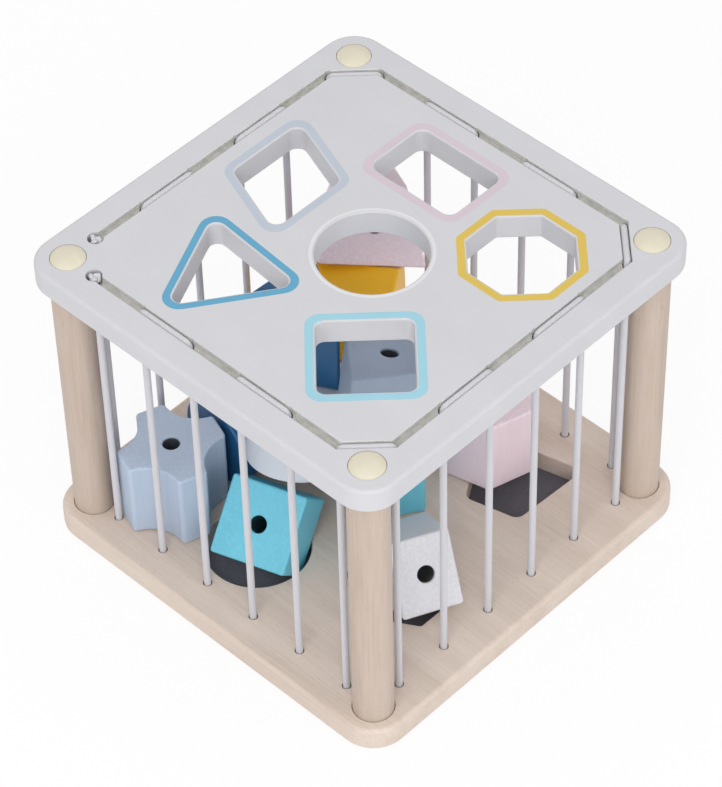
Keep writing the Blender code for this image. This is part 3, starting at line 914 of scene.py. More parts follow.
class Form:
    """A mesh under construction, made of skinned rings of points."""

    def __init__(self) -> None:
        """Start empty."""
        self.bm = bmesh.new()
        self.rim = self.bm.verts.layers.float.new(RIM_NAME)

    @classmethod
    def drills(
        cls, diameter: float, centres: Places, low: float, high: float, sides: int
    ) -> Form:
        """Make a cutter of several round holes.

        Args:
            diameter: The holes' diameter.
            centres: Their middles.
            low: Their lower end.
            high: Their upper end.
            sides: Faces round each.

        Returns:
            The cutter.
        """
        form = cls()
        for centre in centres:
            form.prism(Outline.circle(diameter / 2, sides).turned(0.0, centre), low, high)
        return form

    def skin(
        self,
        rings: Sequence[Sequence[Sequence[float]]],
        closed: bool = False,
        rims: Sequence[float] = (),
    ) -> list[bmesh.types.BMFace]:
        """Skin rings of equal count.

        Args:
            rings: The rings, each a list of points.
            closed: Whether the last ring joins the first; otherwise both ends are capped.
            rims: For each ring, 1 on an eased edge, -1 deep in a bore and 0 elsewhere.

        Returns:
            The faces.
        """
        made = [[self.bm.verts.new(point) for point in ring] for ring in rings]
        for ring, share in zip(made, rims):
            for vert in ring:
                vert[self.rim] = share
        pairs = list(zip(made, made[1:])) + ([(made[-1], made[0])] if closed else [])
        faces = []
        for low, high in pairs:
            for i, corner in enumerate(low):
                j = (i + 1) % len(low)
                faces.append(self.bm.faces.new((corner, low[j], high[j], high[i])))
        if not closed:
            faces.append(self.bm.faces.new(list(reversed(made[0]))))
            faces.append(self.bm.faces.new(made[-1]))
        return faces

    def prism(self, outline: Outline, low: float, high: float, edge: float = 0.0) -> None:
        """Add a prism.

        Args:
            outline: Its outline.
            low: Its lower end.
            high: Its upper end.
            edge: Radius of its end edges.
        """
        if not edge:
            self.skin([outline.at(low), outline.at(high)])
            return
        rings = [(low + rise, inset) for rise, inset in quarter(edge, PLATE_STEPS)]
        rings += [(low + high - z, inset) for z, inset in reversed(rings)]
        self.skin([outline.grown(-inset).at(z) for z, inset in rings])

    def eased_cut(self, outline: Outline, low: float, high: float, ease: float, both: bool) -> None:
        """Add a cutter whose wall curves outwards where it leaves the wood.

        Args:
            outline: What it cuts.
            low: The wood's lower face.
            high: The wood's upper face.
            ease: Radius of the curve.
            both: Whether it curves at the lower face too.
        """
        upper = [(high - fall, out) for out, fall in quarter(ease, EASE_STEPS)]
        upper.append((high + CUT_MARGIN, ease))
        lower = [(low + high - z, out) for z, out in reversed(upper)] if both else []
        rings = lower or [(low - CUT_MARGIN, 0.0)]
        self.skin([outline.grown(out).at(z) for z, out in rings + upper])

    def turned_solid(self, profile: Sequence[Pair], sides: int) -> None:
        """Turn a profile of (radius, height) about the upright axis."""
        self.skin([Outline.circle(radius, sides).at(height) for radius, height in profile])

    def mesh(self, name: str) -> bpy.types.Mesh:
        """Turn the form into a mesh.

        Args:
            name: The mesh's name.

        Returns:
            The mesh.
        """
        bmesh.ops.recalc_face_normals(self.bm, faces=self.bm.faces)
        mesh = bpy.data.meshes.new(name)
        self.bm.to_mesh(mesh)
        self.bm.free()
        return mesh

    def piece(
        self,
        name: str,
        material: bpy.types.Material,
        matrix: Matrix = Matrix.Identity(4),
        sharp: float = SHARP_DEGREES,
    ) -> bpy.types.Object:
        """Turn the form into a finished object.

        Args:
            name: The object's name.
            material: Its material.
            matrix: Where it stands.
            sharp: The angle in degrees above which an edge stays sharp.

        Returns:
            The object.
        """
        mesh = self.mesh(name)
        shade(mesh, [material], sharp)
        return placed(name, mesh, matrix)

    def carved(
        self,
        name: str,
        cutters: Sequence[Form],
        materials: Sequence[bpy.types.Material],
        pick: Callable[[Vector], int] | None = None,
    ) -> bpy.types.Object:
        """Cut several forms out of this one, and finish what is left.

        Args:
            name: The finished object's name.
            cutters: What is taken out, one after the other.
            materials: The finished object's materials.
            pick: Gives the material's number for a face with its middle at a point.

        Returns:
            The finished object.
        """
        names = [name + "_rough", *(f"{name}_tool_{i}" for i in range(len(cutters)))]
        rough, *tools = [placed(n, form.mesh(n)) for n, form in zip(names, (self, *cutters))]
        for tool in tools:
            step = rough.modifiers.new(tool.name, "BOOLEAN")
            step.operation = "DIFFERENCE"
            step.solver = "EXACT"
            step.object = tool
        view = bpy.context.evaluated_depsgraph_get()
        mesh = bpy.data.meshes.new_from_object(rough.evaluated_get(view))
        mesh.name = name
        for spare in (rough, *tools):
            bpy.data.objects.remove(spare, do_unlink=True)
        mesh.materials.clear()
        shade(mesh, materials)
        for face in mesh.polygons if pick else ():
            face.material_index = pick(face.center)
        obj = placed(name, mesh)
        flatten_faces(obj)
        return obj


def fit(obj: bpy.types.Object, body: str, slot: str, *nodes: str) -> None:
    """Put a piece in the frame.

    Args:
        obj: The piece.
        body: The body it moves with.
        slot: The record's material slot meant for the piece; not used.
        nodes: The CAD nodes it stands for.
    """
    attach(obj, body)
    if nodes:
        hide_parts(*nodes)
    LOG.info("%s rides on %s", obj.name, body)


def repaint(obj: bpy.types.Object, material: bpy.types.Material) -> None:
    """Give a CAD node that is kept a material in all its slots.

    Args:
        obj: The node's object.
        material: The material.
    """
    if not obj.material_slots:
        obj.data.materials.append(material)
    for slot in obj.material_slots:
        slot.material = material
    LOG.info("%s gets %s", obj.name, material.name)


STAR = Outline.star(0.0208, 0.0125, 0.0042)


@dataclass(frozen=True)
class Layout:
    """Sizes that the cube's pieces share.

    Attributes:
        fit_gap: Play between touching pieces.
        base_thickness: The base plate's thickness.
        clear_height: Height of the cage between the plates.
        top_thickness: The top plate's thickness.
        post_pitch: Distance between posts, and between opposite lines of cord holes.
        post_diameter: The posts' diameter.
        base_socket_depth: How deep a post stands in the base.
        top_socket_depth: How deep a post stands in the top.
        socket_sides: Faces round a socket or a cap's seat.
        post_to_hole: From a post's middle along the line to the first cord hole.
        holes_per_side: Cord holes on a side.
        hole_diameter: The cord holes' diameter.
        hole_sides: Faces round a cord hole.
        cord_diameter: The cord's diameter.
        groove_width: Width of the channels that the cord lies in.
        cord_sink: How far the cord lies below the top face.
        rebate_depth: Depth of the rebate under the base.
        knot_sink: Depth of the knots' middle below the top face.
        cap_seat: Depth of a cap's seat.
        cap_diameter: Diameter of a cap's seat.
    """

    fit_gap: float = 0.0003
    base_thickness: float = 0.011
    clear_height: float = 0.1235
    top_thickness: float = 0.011
    post_pitch: float = 0.153
    post_diameter: float = 0.016
    base_socket_depth: float = 0.005
    top_socket_depth: float = 0.0027
    socket_sides: int = 64
    post_to_hole: float = 0.014
    holes_per_side: int = 6
    hole_diameter: float = 0.0038
    hole_sides: int = 28
    cord_diameter: float = 0.0028
    groove_width: float = 0.0034
    cord_sink: float = 0.0002
    rebate_depth: float = 0.0017
    knot_sink: float = 0.0016
    cap_seat: float = 0.004
    cap_diameter: float = 0.014

    @property
    def top_under(self) -> float:
        """Height of the top plate's underside."""
        return self.base_thickness + self.clear_height

    @property
    def top_face(self) -> float:
        """Height of the top plate's upper face."""
        return self.top_under + self.top_thickness

    @property
    def top_run(self) -> float:
        """Height of the cord's middle in the top channel."""
        return self.top_face - self.cord_sink - self.cord_diameter / 2

    @property
    def under_run(self) -> float:
        """Height of the cord's middle in the channels under the base."""
        return self.rebate_depth + self.fit_gap + self.cord_diameter / 2

    @property
    def knot_height(self) -> float:
        """Height of the knots' middle."""
        return self.top_face - self.knot_sink

    @property
    def socket_diameter(self) -> float:
        """Diameter of the posts' sockets."""
        return self.post_diameter + 2 * self.fit_gap

    @property
    def corners(self) -> dict[str, Pair]:
        """The posts' middles by corner."""
        a = self.post_pitch / 2
        return {"left": (-a, -a), "front": (a, -a), "right": (a, a), "back": (-a, a)}

    @property
    def holes(self) -> list[Vector]:
        """Lay out the cord holes.

        Returns:
            Their middles in lacing order, from one knot round to the other.
        """
        line = -self.post_pitch / 2
        first = self.post_to_hole - self.post_pitch / 2
        pitch = (self.post_pitch - 2 * self.post_to_hole) / (self.holes_per_side - 1)
        side = Outline([(first + pitch * k, line) for k in range(self.holes_per_side)])
        return side.four_sided().points

    @property
    def top_route(self) -> list[Vector]:
        """Lay out the cord's channel in the top face.

        Returns:
            Its corners from knot to knot: the first and last hole of each side.
        """
        holes, count = self.holes, self.holes_per_side
        starts = range(0, len(holes), count)
        return [holes[i] for start in starts for i in (start, start + count - 1)]


@dataclass(frozen=True)
class CutOut:
    """A shaped hole in a plate.

    Attributes:
        shape: Its outline about its own middle.
        place: Where its middle lies on the plate.
        turn: Its turn in degrees.
        corner: Radius of its corners, or 0 where the shape has its own.
        steps: Steps in a corner.
    """

    shape: Outline
    place: Pair
    turn: float = 0.0
    corner: float = 0.0
    steps: int = 4

    def outline(self) -> Outline:
        """The cut-out's outline on the plate."""
        laid = self.shape.turned(self.turn, self.place)
        return laid.rounded(self.corner, self.steps) if self.corner else laid


@dataclass(frozen=True)
class Opening:
    """One shaped opening in the top plate, with the painted ring round it.

    Attributes:
        name: The shape's name.
        hole: The opening about its own middle, with sharp corners.
        ring: The ring's outside, the same way.
        place: Where its middle lies on the plate.
        turn: Its turn in degrees.
        paint: The ring's finish.
        slot: The record's slot for the ring.
        corners: Radii of the corners of the opening and of the ring's outside.
        steps: Steps in a corner.
    """

    name: str
    hole: Outline
    ring: Outline
    place: Pair
    turn: float
    paint: SatinPaint
    slot: str
    corners: Pair = (0.0, 0.0)
    steps: int = 7

    def outlines(self) -> list[Outline]:
        """The opening and the ring's outside, where they lie on the plate."""
        both = zip((self.hole, self.ring), self.corners)
        return [CutOut(o, self.place, self.turn, r, self.steps).outline() for o, r in both]


def ring_paint(name: str, colour: str) -> SatinPaint:
    """The paint of a ring, smoother than the plate's and thick enough to hide most grain."""
    return SatinPaint("ring_paint_" + name, colour, Along.X, roughness=0.42, grain=0.2)


@dataclass
class BasePlate:
    """The bare base plate with its cut-outs, sockets, cord holes and channels.

    Attributes:
        layout: The shared sizes.
        side: The plate's side.
        corner: Radius of its corners.
        edge: Radius of its edges.
        panel_margin: From the plate's edge to the rebate.
        panel_corner: The rebate's corner radius.
        panel_steps: Steps in such a corner.
        ease: Rounding of the cut-outs' upper edges.
        hole_start: Height inside the rebate from which the cord holes are drilled.
        wood: The finish.
        cut_outs: The round, hexagonal, trapezoidal and star cut-outs.
    """

    layout: Layout
    side: float = 0.180
    corner: float = 0.015
    edge: float = 0.002
    panel_margin: float = 0.006
    panel_corner: float = 0.009
    panel_steps: int = 8
    ease: float = 0.0006
    hole_start: float = 0.0001
    wood: BareWood = BareWood(
        "sanded_beech", "d5c5b8", pale="dccdc1", deep="ccbaac", fleck="bfab9c", along=Along.X
    )
    cut_outs: tuple[CutOut, ...] = (
        CutOut(Outline.circle(0.02125, 72), (-0.0115, -0.0498)),
        CutOut(Outline.regular(6, 0.040, 30.0), (0.0433, -0.0245), corner=0.0015),
        CutOut(Outline.trapezoid(0.0452, 0.0237, 0.0352), (0.0381, 0.0443), 194.0, 0.004, 7),
        CutOut(STAR.grown(0.0012).rounded(0.0012, 4), (-0.038, 0.038), 10.0),
    )

    def channels(self) -> Form:
        """Make a cutter for the channels that join the cord holes in pairs from below.

        Returns:
            The cutter.
        """
        lay = self.layout
        ceiling = lay.under_run + lay.cord_diameter / 2 + lay.fit_gap
        form = Form()
        for start, end in zip(lay.holes[0::2], lay.holes[1::2]):
            along = (end - start).normalized()
            across = Vector((-along.y, along.x)) * (lay.groove_width / 2)
            corners = Outline([start - across, end - across, end + across, start + across])
            form.prism(corners, lay.rebate_depth - CUT_MARGIN / 2, ceiling)
        return form

    def build(self) -> None:
        """Make the plate."""
        lay = self.layout
        body, rebate, openings = Form(), Form(), Form()
        outline = Outline.square(self.side).rounded(self.corner, CORNER_STEPS)
        body.prism(outline, 0.0, lay.base_thickness, self.edge)
        inner = Outline.square(self.side - 2 * self.panel_margin)
        inner = inner.rounded(self.panel_corner, self.panel_steps)
        rebate.prism(inner, -CUT_MARGIN, lay.rebate_depth)
        for cut_out in self.cut_outs:
            openings.eased_cut(cut_out.outline(), 0.0, lay.base_thickness, self.ease, both=False)
        above = lay.base_thickness + CUT_MARGIN
        floor = lay.base_thickness - lay.base_socket_depth
        centres = lay.corners.values()
        cutters = [
            rebate,
            openings,
            Form.drills(lay.socket_diameter, centres, floor, above, lay.socket_sides),
            self.channels(),
            Form.drills(lay.hole_diameter, lay.holes, self.hole_start, above, lay.hole_sides),
        ]
        plate = body.carved("beech_base", cutters, [self.wood.dress()])
        fit(plate, CAGE, "beech", "base_plate")


@dataclass
class TopPlate:
    """The painted top plate with its six openings, their rings, and the cord's channel.

    Attributes:
        layout: The shared sizes.
        side: The plate's side.
        corner: Radius of its corners.
        edge: Radius of its edges.
        ease: Rounding of the openings' edges.
        channel_ease: Rounding of the channel's edges.
        floor_steps: Steps in the channel's round floor.
        head_bore: Diameter of the bore for a screw's head.
        head_depth: Its depth below the cap's seat.
        head_sides: Faces round it.
        screw_bore: Diameter of the bore for a screw.
        screw_sides: Faces round it.
        knot_bore: Diameter of the bore that holds a knot.
        knot_room: Its depth below the knot's middle.
        knot_sides: Faces round it.
        raw_margin: How far beyond the channel's half width a wall still counts as routed.
        face_skin: Depth of the faces' own skin, which is always painted.
        film: Thickness of the rings' paint above the face, and its root below it.
        ring_gap: From an opening's eased edge to its ring.
        ring_step: The longest step along a ring's outside.
        paint: The plate's finish.
        raw: The finish inside the channel and cord holes.
        openings: The six openings.
    """

    layout: Layout
    side: float = 0.179
    corner: float = 0.0135
    edge: float = 0.0016
    ease: float = 0.0007
    channel_ease: float = 0.00025
    floor_steps: int = 8
    head_bore: float = 0.0082
    head_depth: float = 0.0028
    head_sides: int = 24
    screw_bore: float = 0.0045
    screw_sides: int = 16
    knot_bore: float = 0.0064
    knot_room: float = 0.0027
    knot_sides: int = 40
    raw_margin: float = 0.0005
    face_skin: float = 0.0002
    film: float = 0.00005
    ring_gap: float = 0.00005
    ring_step: float = 0.0012
    paint: SatinPaint = SatinPaint("pale_grey_paint", "ccccd0", Along.X, 0.5, 0.25)
    raw: RoutedWood = RoutedWood("routed_channel", "cbcac5")
    openings: tuple[Opening, ...] = (
        Opening(
            "triangle", Outline.triangle(0.0483), Outline.triangle(0.0604),
            (-0.0294, -0.0410), 175.0, ring_paint("blue", "599fc0"), "paint_cyan",
            (0.0035, 0.0065), 8,
        ),
        Opening(
            "rhombus", Outline.rhombus(0.036, 70.0), Outline.rhombus(0.0439, 70.0),
            (-0.0480, 0.0100), -90.0, ring_paint("pale_blue", "b7c0cb"), "paint_grey_blue",
            (0.004, 0.0065),
        ),
        Opening(
            "oblong", Outline.oblong(0.0415, 0.029), Outline.oblong(0.0489, 0.0364),
            (-0.0078, 0.0495), 0.0, ring_paint("pink", "cfc0c9"), "paint_pink",
            (0.004, 0.0065),
        ),
        Opening(
            "octagon", Outline.regular(8, 0.0405, 22.5), Outline.regular(8, 0.0481, 22.5),
            (0.0460, 0.0383), 0.0, ring_paint("yellow", "d6b74d"), "paint_yellow",
            (0.0012, 0.0025), 3,
        ),
        Opening(
            "round", Outline.circle(0.02165, 96), Outline.circle(0.02375, 96),
            (0.0046, 0.0017), 0.0, ring_paint("white", "dbdbde"), "paint_white",
        ),
        Opening(
            "square", Outline.square(0.036), Outline.square(0.0438),
            (0.0395, -0.0385), 45.0, ring_paint("cyan", "99cad9"), "paint_cyan",
            (0.0035, 0.006),
        ),
    )

    def channel(self) -> Form:
        """Make a cutter for the cord's channel, with a round floor and eased edges.

        Returns:
            The cutter.
        """
        lay = self.layout
        half = lay.groove_width / 2
        floor = lay.top_run - lay.cord_diameter / 2 - lay.fit_gap
        wide = -half - self.channel_ease
        profile = [(wide, lay.top_face + CUT_MARGIN), (wide, lay.top_face)]
        profile.append((-half, lay.top_face - self.channel_ease))
        for k in range(self.floor_steps + 1):
            angle = math.pi * (1 + k / self.floor_steps)
            profile.append((half * math.cos(angle), floor + half * (1 + math.sin(angle))))
        profile += [(-x, z) for x, z in reversed(profile[:3])]
        route = lay.top_route
        runs = [(end - start).normalized() for start, end in zip(route, route[1:])]
        rings = []
        for point, come, go in zip(route, runs[:1] + runs, runs + runs[-1:]):
            first, second = Vector((-come.y, come.x)), Vector((-go.y, go.x))
            across = (first + second) / (1 + first.dot(second))
            rings.append([(*(point + across * x), z) for x, z in profile])
        form = Form()
        form.skin(rings)
        return form

    def routed(self, point: Vector) -> int:
        """Tell raw wood from paint.

        Args:
            point: The middle of a face of the plate.

        Returns:
            1 if the face lies in the channel or in a cord hole, and 0 if it is painted.
        """
        lay = self.layout
        if not lay.top_under + self.face_skin < point.z < lay.top_face - self.face_skin:
            return 0
        flat = Vector((point.x, point.y))
        gaps = [(flat - hole).length for hole in lay.holes]
        route = lay.top_route
        for start, end in zip(route, route[1:]):
            run = end - start
            share = max(0.0, min(1.0, (flat - start).dot(run) / run.length_squared))
            gaps.append((flat - start - run * share).length)
        return int(min(gaps) < lay.groove_width / 2 + self.raw_margin)

    def add_ring(self, opening: Opening) -> None:
        """Lay one ring of paint on the top face.

        Args:
            opening: The opening that it goes round.
        """
        hole, outside = opening.outlines()
        outer = outside.refined(self.ring_step)
        edge = hole.grown(self.ease + self.ring_gap)
        inner = edge.matched(outer, edge.middle)
        low, high = self.layout.top_face - self.film, self.layout.top_face + self.film
        form = Form()
        form.skin([inner.at(low), inner.at(high), outer.at(high), outer.at(low)], closed=True)
        fit(form.piece("ring_" + opening.name, opening.paint.dress()), CAGE, opening.slot)

    def build(self) -> None:
        """Make the plate and its rings."""
        lay = self.layout
        low, high = lay.top_under, lay.top_face
        body, shapes = Form(), Form()
        outline = Outline.square(self.side).rounded(self.corner, CORNER_STEPS)
        body.prism(outline, low, high, self.edge)
        for opening in self.openings:
            shapes.eased_cut(opening.outlines()[0], low, high, self.ease, both=True)
        above, below = high + CUT_MARGIN, low - CUT_MARGIN
        posts, knots = lay.corners.values(), (lay.holes[0], lay.holes[-1])
        socket, seat = low + lay.top_socket_depth, high - lay.cap_seat
        knot_floor = lay.knot_height - self.knot_room - lay.fit_gap
        cutters = [
            shapes,
            Form.drills(lay.socket_diameter, posts, below, socket, lay.socket_sides),
            Form.drills(lay.cap_diameter, posts, seat, above, lay.socket_sides),
            Form.drills(self.head_bore, posts, seat - self.head_depth, above, self.head_sides),
            Form.drills(self.screw_bore, posts, below, above, self.screw_sides),
            self.channel(),
            Form.drills(lay.hole_diameter, lay.holes, below, above, lay.hole_sides),
            Form.drills(self.knot_bore, knots, knot_floor, above, self.knot_sides),
        ]
        materials = [self.paint.dress(), self.raw.dress()]
        plate = body.carved("painted_top", cutters, materials, self.routed)
        fit(plate, CAGE, "paint_pale_grey", "top_plate")
        for opening in self.openings:
            self.add_ring(opening)


@dataclass
class Posts:
    """Four dowel posts, the caps over their screws, and the screws' plating.

    Attributes:
        layout: The shared sizes.
        ease: Rounding of the posts' ends.
        pilot_width: Width of the screw's pilot hole.
        pilot_depth: Its depth.
        post_sides: Faces round a post.
        grain_turn: A post's turn for each metre of its place, so that no two show the same grain.
        dome: How far a cap's dome rises.
        cap_foot: How far the dome starts below the top face.
        cap_bevel: The bevel under a cap.
        dome_steps: Steps in the dome.
        cap_sides: Faces round a cap.
        wood: The posts' finish.
        cap: The caps' finish.
        steel: The screws' finish.
    """

    layout: Layout
    ease: float = 0.0005
    pilot_width: float = 0.0045
    pilot_depth: float = 0.024
    post_sides: int = 72
    grain_turn: Pair = (31.0, 17.0)
    dome: float = 0.00145
    cap_foot: float = 0.0002
    cap_bevel: float = 0.0004
    dome_steps: int = 12
    cap_sides: int = 64
    wood: BareWood = BareWood(
        "dowel_wood", "c0afa1", pale="c6b6a9", deep="b6a495", fleck="ac998b", along=Along.Z,
        roughness=0.55,
    )
    cap: SmoothCap = SmoothCap("cream_cap", "d6cfba")
    steel: PlatedSteel = PlatedSteel("zinc_steel", "b9bcc0")

    def post(self) -> Form:
        """Make one post, drilled at its top for the screw.

        Returns:
            The post about the upright axis.
        """
        lay = self.layout
        low = lay.base_thickness - lay.base_socket_depth + lay.fit_gap
        high = lay.top_under + lay.top_socket_depth - lay.fit_gap
        radius, pilot = lay.post_diameter / 2, self.pilot_width / 2
        profile = [(radius - inset, low + rise) for rise, inset in quarter(self.ease, EASE_STEPS)]
        profile += [(r, low + high - z) for r, z in reversed(profile)]
        profile += [(pilot, high), (pilot, high - self.pilot_depth)]
        form = Form()
        form.turned_solid(profile, self.post_sides)
        return form

    def domed_cap(self) -> Form:
        """Make one cap.

        Returns:
            The cap about the upright axis.
        """
        lay = self.layout
        radius = lay.cap_diameter / 2 - lay.fit_gap / 2
        low = lay.top_face - lay.cap_seat + lay.fit_gap
        foot = lay.top_face - self.cap_foot
        profile = [(radius - self.cap_bevel, low), (radius, low + self.cap_bevel)]
        for k in range(self.dome_steps):
            angle = QUARTER_TURN * k / self.dome_steps
            profile.append((radius * math.cos(angle), foot + self.dome * math.sin(angle)))
        form = Form()
        form.turned_solid(profile, self.cap_sides)
        return form

    def build(self, nodes: dict[str, bpy.types.Object]) -> None:
        """Make the posts and caps, and plate the screws.

        Args:
            nodes: The CAD nodes, which hold the screws.
        """
        wood, plastic, steel = self.wood.dress(), self.cap.dress(), self.steel.dress()
        for name, centre in self.layout.corners.items():
            place = Matrix.Translation((*centre, 0.0))
            angle = centre[0] * self.grain_turn[0] + centre[1] * self.grain_turn[1]
            turned = place @ Matrix.Rotation(angle, 4, "Z")
            post = self.post().piece("dowel_" + name, wood, turned)
            flatten_faces(post)
            fit(post, CAGE, "dowel", "post_" + name)
            cap = self.domed_cap().piece("domed_cap_" + name, plastic, place)
            fit(cap, CAGE, "cream_cap", "cap_" + name)
            repaint(nodes["screw_" + name], steel)


@dataclass
class Lacing:
    """The elastic cord, one length through every hole, with a knot at each end.

    Attributes:
        layout: The shared sizes.
        bend: Radius of its turns.
        bend_steps: Steps in a turn.
        sides: Faces round the cord.
        end_drop: How far below its middle a knot takes in the cord.
        knot_lift: How far a knot's loops lie above that middle, and its cut end above them.
        knot_loop: Size of a knot's loops.
        knot_rise: Half the height of a knot's loops.
        knot_yarn: Radius of the squeezed cord in a knot.
        knot_steps: Steps along a knot's loops.
        knot_turns: The turns of the first and the last knot, in radians.
        tail_steps: Steps along the cut end beside a knot.
        tail_step: One of its steps.
        tail_share: Its thickness, as a share of the knot's cord.
        elastic: The finish.
    """

    layout: Layout
    bend: float = 0.002
    bend_steps: int = 7
    sides: int = 20
    end_drop: float = 0.0012
    knot_lift: float = 0.0001
    knot_loop: float = 0.00058
    knot_rise: float = 0.0008
    knot_yarn: float = 0.00086
    knot_steps: int = 60
    knot_turns: Pair = (0.4, 2.1)
    tail_steps: int = 4
    tail_step: Triple = (0.0004, 0.0005, 0.0002)
    tail_share: float = 0.9
    elastic: BraidedElastic = BraidedElastic("white_elastic", "cccbd0", "bfbec4")

    def route(self) -> list[Vector]:
        """Lead the cord up and down through the holes.

        Returns:
            Its middle line from knot to knot.
        """
        lay = self.layout
        corners = []
        last = len(lay.holes) - 1
        for i, hole in enumerate(lay.holes):
            top = lay.top_run if 0 < i < last else lay.knot_height - self.end_drop
            ends = [Vector((*hole, top)), Vector((*hole, lay.under_run))]
            corners += reversed(ends) if i % 2 else ends
        points = [corners[0]]
        steps = self.bend_steps
        for before, corner, after in zip(corners, corners[1:], corners[2:]):
            back, ahead = (before - corner).normalized(), (after - corner).normalized()
            half = back.angle(ahead) / 2
            centre = corner + (back + ahead).normalized() * (self.bend / math.sin(half))
            reach = self.bend / math.tan(half)
            start = (corner + back * reach - centre).normalized()
            end = (corner + ahead * reach - centre).normalized()
            points += [centre + start.slerp(end, k / steps) * self.bend for k in range(steps + 1)]
        return [*points, corners[-1]]

    def tube(self, form: Form, points: list[Vector], radius: float, closed: bool = False) -> None:
        """Add a tube along points, with its lay round and along the cord kept for the braid.

        Args:
            form: The form that takes the tube.
            points: The middle line.
            radius: The tube's radius.
            closed: Whether the line is a loop.
        """
        behind = (points[-1:] if closed else points[:1]) + points[:-1]
        ahead = points[1:] + (points[:1] if closed else points[-1:])
        tangents = [(after - before).normalized() for before, after in zip(behind, ahead)]
        normal = tangents[0].orthogonal().normalized()
        turns = round_turns(self.sides)
        rings, lengths, run = [], [], 0.0
        for i, (point, tangent) in enumerate(zip(points, tangents)):
            if i:
                normal = tangents[i - 1].rotation_difference(tangent) @ normal
                run += (point - points[i - 1]).length
            normal = (normal - tangent * normal.dot(tangent)).normalized()
            other = tangent.cross(normal)
            arms = [normal * math.cos(a) + other * math.sin(a) for a in turns]
            rings.append([point + arm * radius for arm in arms])
            lengths.append(run / (FULL_TURN * radius))
        lengths.append((run + (points[0] - points[-1]).length) / (FULL_TURN * radius))
        layers = form.bm.loops.layers.uv
        lay = layers.get(UV_NAME) or layers.new(UV_NAME)
        faces = form.skin(rings, closed=closed)
        walls = faces if closed else faces[:-2]
        for number, face in enumerate(walls):
            ring, step = divmod(number, self.sides)
            left, right = step / self.sides, (step + 1) / self.sides
            low, high = lengths[ring], lengths[ring + 1]
            corners = [(left, low), (right, low), (right, high), (left, high)]
            for loop, corner in zip(face.loops, corners):
                loop[lay].uv = corner

    def add_knot(self, name: str, hole: Vector, turn: float, material: bpy.types.Material) -> None:
        """Tie a tight knot in its bore, with the cord's cut end beside it.

        Args:
            name: The knot's name.
            hole: The cord hole that it closes.
            turn: Its turn in radians.
            material: The elastic.
        """
        middle = Vector((*hole, self.layout.knot_height + self.knot_lift))
        swing = Matrix.Rotation(turn, 3, "Z")
        loop = []
        for a in round_turns(self.knot_steps):
            x = (math.sin(a) + 2 * math.sin(2 * a)) * self.knot_loop
            y = (math.cos(a) - 2 * math.cos(2 * a)) * self.knot_loop
            loop.append(middle + swing @ Vector((x, y, -math.sin(3 * a) * self.knot_rise)))
        dx, dy, dz = self.tail_step
        steps = range(self.tail_steps + 1)
        tail = [Vector((dx * k, dy * k, self.knot_lift + dz * k)) for k in steps]
        form = Form()
        self.tube(form, loop, self.knot_yarn, closed=True)
        self.tube(form, [middle + swing @ p for p in tail], self.knot_yarn * self.tail_share)
        fit(form.piece(name, material, sharp=CORD_SHARP_DEGREES), CAGE, "elastic")

    def build(self) -> None:
        """Make the cord and its two knots."""
        elastic = self.elastic.dress()
        form = Form()
        self.tube(form, self.route(), self.layout.cord_diameter / 2)
        cord = form.piece("laced_elastic", elastic, sharp=CORD_SHARP_DEGREES)
        fit(cord, CAGE, "elastic", "elastic_cord")
        self.add_knot("knot_front_side", self.layout.holes[0], self.knot_turns[0], elastic)
        self.add_knot("knot_left_side", self.layout.holes[-1], self.knot_turns[1], elastic)


class Coat(Enum):
    """The blocks' paints, each with the record's slot."""

    BLUE = (SatinPaint("grey_blue_paint", "b4c3d7", roughness=0.5), "paint_grey_blue")
    # A darker copy of the blue paint for the rhombus block: painted shade from the top plate over
    # it.
    SHADED_BLUE = (SatinPaint("shaded_blue_paint", "9aa8bc", roughness=0.5), "paint_grey_blue")
    PETROL = (SatinPaint("petrol_paint", "215f8e", roughness=0.42), "paint_petrol")
    CYAN = (SatinPaint("cyan_paint", "6ec6dd", roughness=0.45), "paint_cyan")
    WHITE = (SatinPaint("white_paint", "dadadf", roughness=0.46), "paint_white")
    # A darker, bluish copy of the white paint for the round white block: painted shade from the top
    # plate and painted reflection of the blue blocks near it.
    SHADED_WHITE = (SatinPaint("white_shade_and_reflection_paint", "ccd4de", roughness=0.46), "paint_white")
    PINK = (SatinPaint("pink_paint", "f3e0e9", roughness=0.48), "paint_pink")
    YELLOW = (SatinPaint("yellow_paint", "fcbf1c", roughness=0.45), "paint_yellow")

    def __init__(self, paint: SatinPaint, slot: str) -> None:
        """Keep the finish and the slot."""
        self.paint = paint
        self.slot = slot


